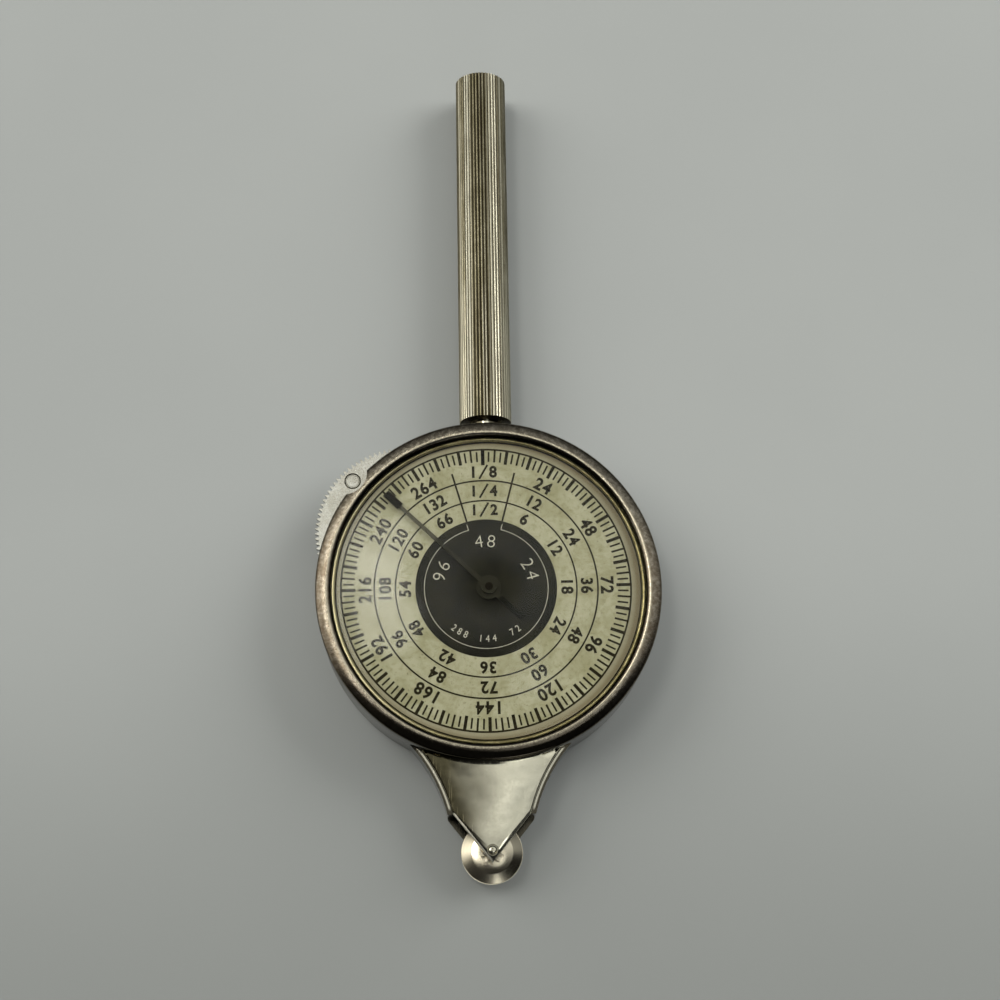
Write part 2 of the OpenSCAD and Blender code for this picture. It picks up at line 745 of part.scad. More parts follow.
module first_pinion() color("#9aa0a6") {
    translate([0, first_y, 0]) difference() {
        gear(first_pinion_teeth, second_module, pinion_tooth, second_z - pinion_over,
             wheel_t + 2 * pinion_over, 90, true);
        translate([0, 0, second_z - 2 * pinion_over]) cylinder(r = arbor_r, h = wheel_t + 4 * pinion_over);
    }
}

module second_arbor() color("#8b8f95") {
    translate([0, second_y, 0]) arbor(lower_top, upper_z, plate_t);
}

module second_wheel() color("#d0b45e") {
    translate([0, second_y, 0])
        crossed_gear(second_wheel_teeth, second_module, second_z, 270, arbor_r, bush_r + arbor_r);
}

module second_pinion() color("#9aa0a6") {
    translate([0, second_y, 0]) difference() {
        gear(second_pinion_teeth, centre_module, pinion_tooth, centre_z - pinion_over,
             wheel_t + 2 * pinion_over, 90, true);
        translate([0, 0, centre_z - 2 * pinion_over]) cylinder(r = arbor_r, h = wheel_t + 4 * pinion_over);
    }
}

module centre_wheel() color("#d0b45e") {
    crossed_gear(centre_teeth, centre_module, centre_z, 270,
                 pointer_arbor_r + run_gap, collar_r + 2 * pointer_arbor_r);
}

module pointer_arbor() color("#8b8f95") {
    translate([0, 0, lower_z]) cylinder(r = pivot_r, h = boss_top - lower_z);
    translate([0, 0, lower_top + end_play])
        cylinder(r = pointer_arbor_r, h = boss_top - lower_top - end_play);
    translate([0, 0, centre_z - collar_h]) cylinder(r = collar_r, h = collar_h);
}

// Dished spring that presses the centre wheel on the arbor's collar
module clutch_spring() color("#5f6670") {
    spring_z = centre_z + wheel_t;
    spring_h = clutch_room - slot_gap;
    difference() {
        rotate_extrude() polygon([
            [pointer_arbor_r, spring_z + spring_h - spring_t], [collar_r, spring_z + spring_h - spring_t],
            [spring_r - spring_t, spring_z], [spring_r, spring_z],
            [spring_r, spring_z + spring_t], [collar_r + spring_t, spring_z + spring_h],
            [pointer_arbor_r, spring_z + spring_h]]);
        for (a = [0, 120, 240]) rotate([0, 0, a])
            translate([collar_r + 3 * spring_t, -spring_t, spring_z - eps])
                cube([spring_r, 2 * spring_t, spring_h]);
    }
}

module reset_pinion() color("#9aa0a6") {
    difference() {
        gear(reset_pinion_teeth, reset_module, reset_tooth, reset_z, reset_t, reset_a, true,
             reset_root);
        translate([0, 0, reset_z - eps]) cylinder(r = pointer_arbor_r, h = reset_t + 2 * eps);
    }
}

module pointer() color("#2a2c2e") {
    translate([0, 0, pointer_z]) rotate([0, 0, pointer_a]) linear_extrude(height = pointer_t)
        difference() {
            union() {
                circle(r = hub_r);
                polygon([[-blade_w / 2, 0], [blade_w / 2, 0],
                         [blade_tip_w / 2, pointer_len - marker_len],
                         [marker_w / 2, pointer_len - marker_len], [marker_w / 2, pointer_len],
                         [-marker_w / 2, pointer_len], [-marker_w / 2, pointer_len - marker_len],
                         [-blade_tip_w / 2, pointer_len - marker_len]]);
                translate([-blade_w / 2, -tail_len]) square([blade_w, tail_len]);
            }
            circle(r = pointer_arbor_r);
        }
}

module pointer_boss() color("#34373a") {
    ring(boss_r, pointer_arbor_r, pointer_z + pointer_t, boss_top);
}

module reset_post() color("#8b8f95") {
    at_polar(reset_cd, reset_a) {
        translate([0, 0, reset_z - 2 * (clip_t + end_play)])
            cylinder(r = post_r, h = upper_top - reset_z + 2 * (clip_t + end_play));
        translate([0, 0, reset_top + end_play])
            cylinder(r = shoulder_r, h = upper_z - reset_top - end_play);
    }
}

module reset_clip() color("#5f6670") {
    clip_z = reset_z - 2 * (clip_t + end_play);
    at_polar(reset_cd, reset_a) difference() {
        ring(clip_r, post_r, clip_z, clip_z + clip_t);
        translate([0, -post_r / 2, clip_z - eps]) cube([2 * clip_r, post_r, clip_t + 2 * eps]);
    }
}

module reset_washer() color("#b39a55") {
    at_polar(reset_cd, reset_a)
        ring(clip_r, post_r + run_gap, reset_z - end_play - clip_t, reset_z - end_play);
}

module reset_wheel() color("#dcdad2") {
    at_polar(reset_cd, reset_a) difference() {
        gear(reset_teeth, reset_module, reset_tooth, reset_z, reset_t, reset_a + 180, false,
             reset_root);
        translate([0, 0, reset_z - eps]) cylinder(r = post_r + run_gap, h = reset_t + 2 * eps);
        at_polar(reset_tip_r - rivet_inset, rivet_a)
            translate([0, 0, reset_z - eps]) cylinder(r = rivet_r, h = reset_t + 2 * eps);
    }
}

module reset_rivet() color("#e4e2da") {
    rivet_edge = reset_t / 4;
    at_polar(reset_cd, reset_a) at_polar(reset_tip_r - rivet_inset, rivet_a)
        rotate_extrude() polygon([[0, reset_z], [rivet_r, reset_z], [rivet_r, reset_top - rivet_edge],
                                  [rivet_r - rivet_edge, reset_top], [0, reset_top]]);
}

back_cover();
case_band();
nose_cheek();
cheek_screws();
bezel();
crystal();
spacer_ring();
dial_plate();
dial_card();
dial_feet();
upper_plate();
lower_plate();
pillars();
upper_screws();
lower_screws();
upper_bushes();
lower_bushes();
nose_bushes();
handle();
handle_stud();
handle_washer();
handle_nut();
axle_pin();
axle_washers();
tracing_wheel();
tracing_pinion();
first_arbor();
first_wheel();
first_pinion();
second_arbor();
second_wheel();
second_pinion();
centre_wheel();
pointer_arbor();
clutch_spring();
reset_pinion();
pointer();
pointer_boss();
reset_post();
reset_clip();
reset_washer();
reset_wheel();
reset_rivet();
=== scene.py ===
"""Looks of a pocket map measurer: dial, crystal, worn nickel case, fluted handle, tracing wheel.

The instrument's lengths are in millimetres until MM turns them into metres. It lies on its back: the
handle points to +Y, the tracing wheel to -Y and the dial up to +Z.
"""
import json
import math

import bmesh
import bpy
from mathutils import Euler, Matrix, Vector

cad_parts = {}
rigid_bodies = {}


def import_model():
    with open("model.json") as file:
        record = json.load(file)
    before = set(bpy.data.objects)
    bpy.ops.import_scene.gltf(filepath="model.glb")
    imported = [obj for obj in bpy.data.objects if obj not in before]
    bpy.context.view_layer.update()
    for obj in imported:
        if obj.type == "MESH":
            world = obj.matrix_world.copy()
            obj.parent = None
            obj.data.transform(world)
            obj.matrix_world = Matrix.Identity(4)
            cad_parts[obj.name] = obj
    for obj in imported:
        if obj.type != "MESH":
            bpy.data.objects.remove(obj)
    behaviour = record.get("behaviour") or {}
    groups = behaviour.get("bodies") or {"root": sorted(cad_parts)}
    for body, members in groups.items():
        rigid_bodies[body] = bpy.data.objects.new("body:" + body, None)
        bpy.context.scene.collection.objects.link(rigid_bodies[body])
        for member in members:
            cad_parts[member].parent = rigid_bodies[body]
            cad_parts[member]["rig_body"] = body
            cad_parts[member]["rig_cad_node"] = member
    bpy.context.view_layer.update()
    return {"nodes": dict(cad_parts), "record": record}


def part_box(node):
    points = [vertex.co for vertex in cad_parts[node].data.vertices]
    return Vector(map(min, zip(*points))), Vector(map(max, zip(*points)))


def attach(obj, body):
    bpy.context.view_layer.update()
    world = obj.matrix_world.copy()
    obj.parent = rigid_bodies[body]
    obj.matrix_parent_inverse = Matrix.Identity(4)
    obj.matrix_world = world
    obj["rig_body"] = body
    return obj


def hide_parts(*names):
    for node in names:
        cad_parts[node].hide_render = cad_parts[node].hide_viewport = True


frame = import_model()
nodes = frame["nodes"]
MM = 0.001
TURN = 2 * math.pi
WELD = 2e-7  # metres: vertices nearer than this become one
FLUTES, HANDLE_R, FLUTE_DEPTH, HANDLE_Z = 46, 2.7, 0.13, 3.2

# Heights and radii of the case, in millimetres, from the frame
AXLE_Y = (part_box("tracing_wheel")[0].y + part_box("tracing_wheel")[1].y) / 2 / MM
WHEEL_Z0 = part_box("tracing_wheel")[0].z / MM
WHEEL_Z1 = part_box("tracing_wheel")[1].z / MM
CARD_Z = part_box("dial_card")[1].z / MM
GLASS_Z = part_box("crystal")[0].z / MM
GLASS_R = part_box("crystal")[1].x / MM
BEZEL_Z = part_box("bezel")[0].z / MM
RIDGE_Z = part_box("bezel")[1].z / MM
CASE_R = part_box("bezel")[1].x / MM
TIP_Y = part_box("nose_cheek")[0].y / MM
CHEEK_Z1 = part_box("nose_cheek")[1].z / MM
# Places that the boxes don't give: the cheek's upper arc, the reset wheel's rivet, and the centre
# of the curve that narrows the right side of the nose
CHEEK_R = 17.25
RIVET_X, RIVET_Y = -13.666, 11.683
FLARE_X, FLARE_Y = 20.265, -26.213
# The print sits a little off the case's centre
PRINT_X, PRINT_Y, PRINT_TURN = -0.248, 0.024, math.radians(-0.7)


# ---------------------------------------------------------------- modelling

def clear():
    """Leaves edit mode and selects nothing."""
    if bpy.context.object and bpy.context.object.mode != "OBJECT":
        bpy.ops.object.mode_set(mode="OBJECT")
    bpy.ops.object.select_all(action="DESELECT")


def activate(piece):
    """Makes this piece the only one selected."""
    clear()
    piece.select_set(True)
    bpy.context.view_layer.objects.active = piece


def named(name):
    """Names the piece that the last operator made."""
    piece = bpy.context.object
    piece.name = piece.data.name = name
    return piece


def settle(piece):
    """Puts the piece's place into its mesh."""
    activate(piece)
    bpy.ops.object.transform_apply(location=True, rotation=True, scale=True)
    return piece


def edit(piece):
    """Opens the piece in edit mode with all of it selected."""
    activate(piece)
    bpy.ops.object.mode_set(mode="EDIT")
    bpy.ops.mesh.select_mode(type="VERT")
    bpy.ops.mesh.select_all(action="SELECT")


def pick(piece, test, kind="VERT"):
    """Selects the vertices, edges or faces that the test accepts."""
    bpy.ops.mesh.select_mode(type=kind)
    bpy.ops.mesh.select_all(action="DESELECT")
    bm = bmesh.from_edit_mesh(piece.data)
    for part in {"VERT": bm.verts, "EDGE": bm.edges, "FACE": bm.faces}[kind]:
        part.select_set(bool(test(part)))
    bm.select_flush_mode()
    bmesh.update_edit_mesh(piece.data)


def clean(piece):
    """Welds double vertices and turns the faces outwards."""
    edit(piece)
    bpy.ops.mesh.remove_doubles(threshold=WELD)
    bpy.ops.mesh.normals_make_consistent(inside=False)
    bpy.ops.object.mode_set(mode="OBJECT")


def smooth(piece, angle=35):
    """Shades smooth across edges up to this angle in degrees."""
    activate(piece)
    bpy.ops.object.shade_smooth_by_angle(angle=math.radians(angle))
    return piece


def modified(piece, kind, **values):
    """Adds one modifier and applies it."""
    activate(piece)
    added = piece.modifiers.new(kind, kind)
    for key, value in values.items():
        setattr(added, key, value)
    bpy.ops.object.modifier_apply(modifier=added.name)
    return piece


def turned(name, profile, x=0, y=0, steps=192, start=0, sweep=TURN, angle=35):
    """Turns a closed profile of (radius, height) points round an upright axis.

    The spin runs clockwise seen from above, from start to start - sweep. A part turn gets an end face
    at both.
    """
    clear()
    r0, z0 = profile[0]
    outwards = Vector((math.cos(start), math.sin(start), 0))
    bpy.ops.mesh.primitive_plane_add(size=MM, location=(0, 0, 0))
    piece = named(name)
    edit(piece)
    bpy.ops.mesh.merge(type="CENTER")
    centre = Vector((x, y, 0)) * MM
    bpy.ops.transform.translate(value=centre + outwards * r0 * MM + Vector((0, 0, z0 * MM)))
    for (r1, z1), (r2, z2) in zip(profile, profile[1:]):
        step = outwards * (r2 - r1) * MM + Vector((0, 0, (z2 - z1) * MM))
        bpy.ops.mesh.extrude_region_move(TRANSFORM_OT_translate={"value": step})
    whole = sweep >= TURN - 1e-6
    if profile[0][0] > 0 or profile[-1][0] > 0 or not whole:
        ends = [Vector((x + outwards.x * r, y + outwards.y * r, z)) * MM
                for r, z in (profile[0], profile[-1])]
        pick(piece, lambda v: min((v.co - e).length for e in ends) < 1e-8)
        bpy.ops.mesh.edge_face_add()
    bpy.ops.mesh.select_all(action="SELECT")
    bpy.ops.mesh.spin(steps=steps, angle=sweep, center=centre, axis=(0, 0, 1))
    for end in () if whole else (start, start - sweep):
        across = Vector((-math.sin(end), math.cos(end), 0))
        along = Vector((math.cos(end), math.sin(end), 0))
        pick(piece, lambda v: abs((v.co - centre).dot(across)) < 1e-7 and (v.co - centre).dot(along) > 0)
        bpy.ops.mesh.edge_face_add()
    bpy.ops.object.mode_set(mode="OBJECT")
    clean(piece)
    return smooth(piece, angle)


def band(name, r, width, z0, z1, **more):
    """Flat printed line round the dial."""
    r_in, r_out = r - width / 2, r + width / 2
    profile = [(r_in, z0), (r_out, z0), (r_out, z1), (r_in, z1)]
    return turned(name, profile, PRINT_X, PRINT_Y, **more)


def join(name, parts):
    """Joins the pieces into one."""
    clear()
    for part in parts:
        part.select_set(True)
    bpy.context.view_layer.objects.active = parts[0]
    if len(parts) > 1:
        bpy.ops.object.join()
    return named(name)


def merged_copy(name, node):
    """Copy of a CAD solid with its triangles merged into whole faces."""
    clear()
    piece = nodes[node].copy()
    piece.data = nodes[node].data.copy()
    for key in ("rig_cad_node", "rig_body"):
        if key in piece:
            del piece[key]
    piece.parent = None
    bpy.context.scene.collection.objects.link(piece)
    piece.name = piece.data.name = name
    edit(piece)
    bpy.ops.mesh.remove_doubles(threshold=WELD)
    bpy.ops.mesh.dissolve_limited(angle_limit=math.radians(0.5))
    bpy.ops.object.mode_set(mode="OBJECT")
    return piece


# ---------------------------------------------------------------- shader tools

def socket(tree, target, value):
    """Links an output to the input, or writes a plain value into it."""
    if isinstance(value, bpy.types.NodeSocket):
        tree.links.new(value, target)
    elif target.type == "RGBA" and len(value) == 3:
        target.default_value = (*value, 1)
    else:
        target.default_value = value


def put(tree, kind, values=None, **props):
    """Adds a shader node with its properties and inputs."""
    node = tree.nodes.new("ShaderNode" + kind)
    for key, value in props.items():
        setattr(node, key, value)
    for key, value in (values or {}).items():
        socket(tree, node.inputs[key], value)
    return node


def maths(tree, what, *values):
    """One step of arithmetic. MULTIPLY_ADD gives first * second + third."""
    node = put(tree, "Math", operation=what)
    for target, value in zip(node.inputs, values):
        socket(tree, target, value)
    return node.outputs[0]


def times(tree, *values):
    """Product of the values."""
    made = values[0]
    for value in values[1:]:
        made = maths(tree, "MULTIPLY", made, value)
    return made


def inverse(tree, value):
    return maths(tree, "SUBTRACT", 1.0, value)


def off(tree, value, middle):
    """How far the value is from the middle one."""
    return maths(tree, "ABSOLUTE", maths(tree, "SUBTRACT", value, middle))


def facing(tree, angle, degrees):
    """1 where the angle points this way, -1 opposite."""
    return maths(tree, "COSINE", maths(tree, "SUBTRACT", angle, math.radians(degrees)))


def ramp(tree, value, low, high, to_low=0.0, to_high=1.0):
    """Soft step from to_low at low to to_high at high."""
    node = put(tree, "MapRange", {"Value": value, "From Min": low, "From Max": high,
                                  "To Min": to_low, "To Max": to_high},
               interpolation_type="SMOOTHSTEP")
    return node.outputs["Result"]


def blend(tree, fac, a, b):
    """Colour a where the factor is 0, b where it is 1."""
    node = put(tree, "Mix", data_type="RGBA")
    socket(tree, node.inputs[0], fac)
    socket(tree, node.inputs[6], a)
    socket(tree, node.inputs[7], b)
    return node.outputs[2]


def noise(tree, coord, size_mm, detail=3.0, rough=0.55, stretch=(1, 1, 1), warp=0.0):
    """Cloudy values with blobs of this size. A small stretch draws them out along that axis."""
    spread = put(tree, "Mapping", {"Vector": coord, "Scale": tuple(s / (size_mm * MM) for s in stretch)})
    made = put(tree, "TexNoise", {"Vector": spread.outputs[0], "Scale": 1.0, "Detail": detail,
                                  "Roughness": rough, "Distortion": warp})
    return made.outputs["Fac"]


def split(tree, coord):
    return put(tree, "SeparateXYZ", {0: coord}).outputs


def group(name, inputs, outputs, build):
    """Makes a node group from a function that gives a value for each output."""
    tree = bpy.data.node_groups.new(name, "ShaderNodeTree")
    for label, kind, value in inputs:
        made = tree.interface.new_socket(label, in_out="INPUT", socket_type="NodeSocket" + kind)
        if value is not None:
            made.default_value = value
    for label, kind in outputs:
        tree.interface.new_socket(label, in_out="OUTPUT", socket_type="NodeSocket" + kind)
    took = tree.nodes.new("NodeGroupInput").outputs
    gave = tree.nodes.new("NodeGroupOutput").inputs
    for label, value in build(tree, took).items():
        tree.links.new(value, gave[label])
    return tree


def use(tree, kind, values):
    """Adds a node group and gives its outputs."""
    node = put(tree, "Group", node_tree=kind)
    for key, value in values.items():
        socket(tree, node.inputs[key], value)
    return node.outputs


def build_tarnish(tree, took):
    """Blotches of tarnish with small dark specks."""
    size = took["Size"]
    where = put(tree, "VectorMath", {0: took["Coordinate"]}, operation="SCALE")
    tree.links.new(size, where.inputs["Scale"])
    cloud, fine, speck = (
        put(tree, "TexNoise", {"Vector": where.outputs[0], "Scale": scale, "Detail": detail,
                               "Roughness": rough}).outputs["Fac"]
        for scale, detail, rough in ((1.0, 5.0, 0.62), (7.3, 3.0, 0.7), (19.0, 2.0, 0.5)))
    mask = maths(tree, "MULTIPLY_ADD", fine, 0.45, times(tree, cloud, 0.75))
    return {"Blotches": ramp(tree, mask, 0.42, 0.72), "Specks": ramp(tree, speck, 0.60, 0.68),
            "Height": maths(tree, "MULTIPLY_ADD", fine, 0.6, times(tree, speck, 0.4))}


def build_scratches(tree, took):
    """Hairline scratches in three directions and a faint grain."""
    layers, fineness = [], 9000.0
    for turn, length in ((0.3, 38.0), (1.5, 55.0), (2.5, 30.0)):
        spun = put(tree, "Mapping", {"Vector": took["Coordinate"], "Rotation": (0, 0, turn),
                                     "Scale": (fineness, fineness / length, fineness / length)})
        line = put(tree, "TexNoise", {"Vector": spun.outputs[0], "Scale": 1.0, "Detail": 1.0}).outputs["Fac"]
        layers.append(ramp(tree, line, 0.66, 0.74))
    mask = maths(tree, "MAXIMUM", maths(tree, "MAXIMUM", layers[0], layers[1]), layers[2])
    grain = noise(tree, took["Coordinate"], 0.12, 2.0)
    return {"Lines": mask, "Height": maths(tree, "MULTIPLY_ADD", grain, 0.25, times(tree, mask, -1.0))}


def build_polar(tree, took):
    """Radius and turn round an upright axis through the centre."""
    moved = put(tree, "VectorMath", {0: took["Coordinate"], 1: took["Centre"]}, operation="SUBTRACT")
    parts = split(tree, moved.outputs[0])
    flat = put(tree, "CombineXYZ", {0: parts[0], 1: parts[1], 2: 0.0})
    length = put(tree, "VectorMath", {0: flat.outputs[0]}, operation="LENGTH").outputs["Value"]
    return {"Radius": length, "Angle": maths(tree, "ARCTAN2", parts[1], parts[0]), "Height": parts[2]}


COORD = [("Coordinate", "Vector", None)]
tarnish = group("tarnish", COORD + [("Size", "Float", 900.0)],
                [("Blotches", "Float"), ("Specks", "Float"), ("Height", "Float")], build_tarnish)
scratches = group("scratches", COORD, [("Lines", "Float"), ("Height", "Float")], build_scratches)
polar = group("polar", COORD + [("Centre", "Vector", None)],
              [("Radius", "Float"), ("Angle", "Float"), ("Height", "Float")], build_polar)


def blotched(tree, coord, size):
    """Tarnish with this many blotches to the metre."""
    return use(tree, tarnish, {"Coordinate": coord, "Size": size})


def scratched(tree, coord):
    return use(tree, scratches, {"Coordinate": coord})


def round_axis(tree, coord, x=0.0, y=0.0):
    """Radius, Angle and Height round the upright axis through (x, y)."""
    return use(tree, polar, {"Coordinate": coord, "Centre": (x * MM, y * MM, 0.0)})


def material(name, build, colour):
    """Material that a function builds; the colour is for plain views."""
    made = bpy.data.materials.new(name)
    made.use_nodes = True
    made.diffuse_color = (*colour, 1)
    tree = made.node_tree
    shader = tree.nodes["Principled BSDF"]
    build(tree, shader, put(tree, "TexCoord").outputs["Object"])
    return made


def give(shader, tree, **values):
    """Sets the shader's inputs, written with _ for the space in their names."""
    for key, value in values.items():
        socket(tree, shader.inputs[key.replace("_", " ")], value)


def bump(tree, height, depth_mm, strength=1.0, normal=None):
    """Normal of a surface that rises by this depth."""
    values = {"Height": height, "Distance": depth_mm * MM, "Strength": strength}
    if normal is not None:
        values["Normal"] = normal
    return put(tree, "Bump", values).outputs[0]


# ---------------------------------------------------------------- materials

def worn_nickel(tree, shader, coord):
    """Case and nose: plate worn brown at both sides and bright on the ridge; painted shade on the upper and
    near sides, beside the crystal, on the outer wall and on the nose walls, with a painted highlight along
    the walls' fold.
    """
    spots = blotched(tree, coord, 900.0)
    wear_and_painted_light = blotched(tree, coord, 2600.0)
    place = round_axis(tree, coord)
    lines = scratched(tree, coord)
    left = ramp(tree, facing(tree, place["Angle"], 190), 0.55, 0.98)
    right = ramp(tree, facing(tree, place["Angle"], 352), 0.75, 1.0)
    bare = maths(tree, "MAXIMUM", left, times(tree, right, 0.9))
    bare = times(tree, bare, maths(tree, "MULTIPLY_ADD", spots["Blotches"], -0.5, 1.0))
    above = ramp(tree, maths(tree, "SINE", place["Angle"]), 0.1, 0.8)
    below = ramp(tree, maths(tree, "SINE", place["Angle"]), -0.55, -0.9)
    off_ridge = off(tree, place["Radius"], 16.05 * MM)
    uneven = maths(tree, "MULTIPLY_ADD", wear_and_painted_light["Height"], 0.9 * MM, -0.45 * MM)
    ridge = inverse(tree, ramp(tree, maths(tree, "ADD", off_ridge, uneven), 0.07 * MM, 0.15 * MM))
    ridge = times(tree, ridge, ramp(tree, place["Height"], 6.85 * MM, 6.95 * MM))
    inner = ramp(tree, place["Radius"], 15.8 * MM, 15.76 * MM)
    skin = blend(tree, wear_and_painted_light["Blotches"], (0.52, 0.47, 0.38), (0.20, 0.17, 0.12))
    skin = blend(tree, bare, skin, blend(tree, wear_and_painted_light["Blotches"], (0.27, 0.225, 0.16), (0.16, 0.12, 0.08)))
    # Painted shade: the upper side of the case darkened in blotches
    shaded = times(tree, above, maths(tree, "MULTIPLY_ADD", wear_and_painted_light["Blotches"], 0.35, 0.5))
    skin = blend(tree, shaded, skin, (0.075, 0.066, 0.048))
    # Painted shade: the near side of the case, towards the nose, darkened further
    skin = blend(tree, times(tree, below, 0.85), skin, (0.06, 0.05, 0.035))
    skin = blend(tree, times(tree, wear_and_painted_light["Specks"], 0.6), skin, (0.11, 0.08, 0.05))
    worn = times(tree, ridge, ramp(tree, spots["Height"], 0.42, 0.58, 0.5, 0.95))
    skin = blend(tree, worn, skin, (0.70, 0.62, 0.46))
    # Painted shade: the inner slope of the lip, in the gap by the crystal, painted near black
    skin = blend(tree, inner, skin, (0.02, 0.016, 0.008))
    # Painted shade: the outer wall of the bezel darkened
    outside = ramp(tree, place["Radius"], (CASE_R - 0.1) * MM, (CASE_R - 0.02) * MM)
    skin = blend(tree, times(tree, outside, 0.75), skin, (0.07, 0.06, 0.04))
    # The walls of the nose carry painted shade, with a painted highlight along the fold of their curve
    side = split(tree, coord)
    mirrored = put(tree, "CombineXYZ", {0: maths(tree, "ABSOLUTE", side[0]), 1: side[1], 2: side[2]})
    flare = round_axis(tree, mirrored.outputs[0], FLARE_X, FLARE_Y)
    wall = times(tree, ramp(tree, place["Radius"], CHEEK_R * MM, 17.3 * MM),
                 ramp(tree, side[1], -10 * MM, -12 * MM))
    fold = times(tree, ramp(tree, flare["Radius"], 16.93 * MM, 16.9 * MM),
                 ramp(tree, flare["Radius"], 16.7 * MM, 16.76 * MM),
                 ramp(tree, side[1], -21.8 * MM, -21.4 * MM))
    skin = blend(tree, wall, skin, blend(tree, fold, (0.10, 0.09, 0.065), (0.72, 0.68, 0.54)))
    rough = ramp(tree, wear_and_painted_light["Height"], 0.3, 0.7, 0.13, 0.30)
    rough = maths(tree, "MULTIPLY_ADD", bare, 0.12, rough)
    rough = times(tree, rough, ramp(tree, maths(tree, "SINE", place["Angle"]), -0.35, -0.75, 1.0, 0.45))
    give(shader, tree, Base_Color=skin, Metallic=1.0, Roughness=rough)
    rise = maths(tree, "MULTIPLY_ADD", lines["Height"], 0.3, wear_and_painted_light["Height"])
    give(shader, tree, Normal=bump(tree, rise, 0.012, maths(tree, "MULTIPLY_ADD", above, 0.5, 0.4)))


def polished_nickel(tree, shader, coord):
    """Cheek of the nose and the axle: bright plate with painted light that falls off to the left, painted
    shade in rings round the axle and on the cheek's side wall, and a worn rim at the tip with a painted
    highlight on its left.
    """
    lines = scratched(tree, coord)
    spots = blotched(tree, coord, 330.0)
    place = split(tree, coord)
    wave = noise(tree, coord, 3.6, 2.0, 0.45)
    # Painted light: the plate bright at the right, falling to dark at the left along a wavy border
    lean = maths(tree, "MULTIPLY_ADD", place[1], 0.12, place[0])
    light = ramp(tree, maths(tree, "MULTIPLY_ADD", wave, 3.0 * MM, lean), -5.0 * MM, 0.8 * MM)
    skin = blend(tree, light, (0.08, 0.071, 0.04), (0.95, 0.90, 0.70))
    skin = blend(tree, times(tree, spots["Blotches"], 0.12), skin, (0.36, 0.32, 0.20))
    skin = blend(tree, times(tree, spots["Specks"], 0.12), skin, (0.20, 0.17, 0.10))
    axle = round_axis(tree, coord, 0.0, AXLE_Y)
    # Painted shade: a dark ring in the groove of the axle's head and one round the head on the cheek
    for reach in (0.40, 0.56):
        ring = maths(tree, "LESS_THAN", off(tree, axle["Radius"], reach * MM), 0.035 * MM)
        skin = blend(tree, times(tree, ring, 0.85), skin, (0.03, 0.025, 0.015))
    rough = maths(tree, "MULTIPLY_ADD", lines["Lines"], 0.06,
                  ramp(tree, spots["Blotches"], 0.0, 1.0, 0.07, 0.11))
    # Distance inwards from the tip's two slanted edges
    across = maths(tree, "MULTIPLY_ADD", maths(tree, "ABSOLUTE", place[0]), -0.778,
                   times(tree, maths(tree, "SUBTRACT", place[1], TIP_Y * MM), 0.628))
    rim = times(tree, ramp(tree, across, 0.2 * MM, 0.15 * MM), ramp(tree, place[2], 4.93 * MM, 4.97 * MM),
                ramp(tree, place[1], -21.9 * MM, -22.1 * MM),
                ramp(tree, place[0], 0.1 * MM, -0.1 * MM, 0.25, 1.0))
    # The worn rim at the tip, made brighter on its left side by a painted highlight
    skin = blend(tree, rim, skin, (0.88, 0.84, 0.70))
    # Painted shade: the side wall of the cheek, below its face, darkened
    skin = blend(tree, ramp(tree, place[2], 4.95 * MM, 4.9 * MM), skin, (0.16, 0.14, 0.09))
    rough = maths(tree, "MULTIPLY_ADD", rim, 0.4, rough)
    give(shader, tree, Base_Color=skin, Metallic=1.0, Roughness=rough)
    hollow = bump(tree, wave, 0.045)
    give(shader, tree, Normal=bump(tree, lines["Height"], 0.0015, 0.6, hollow))


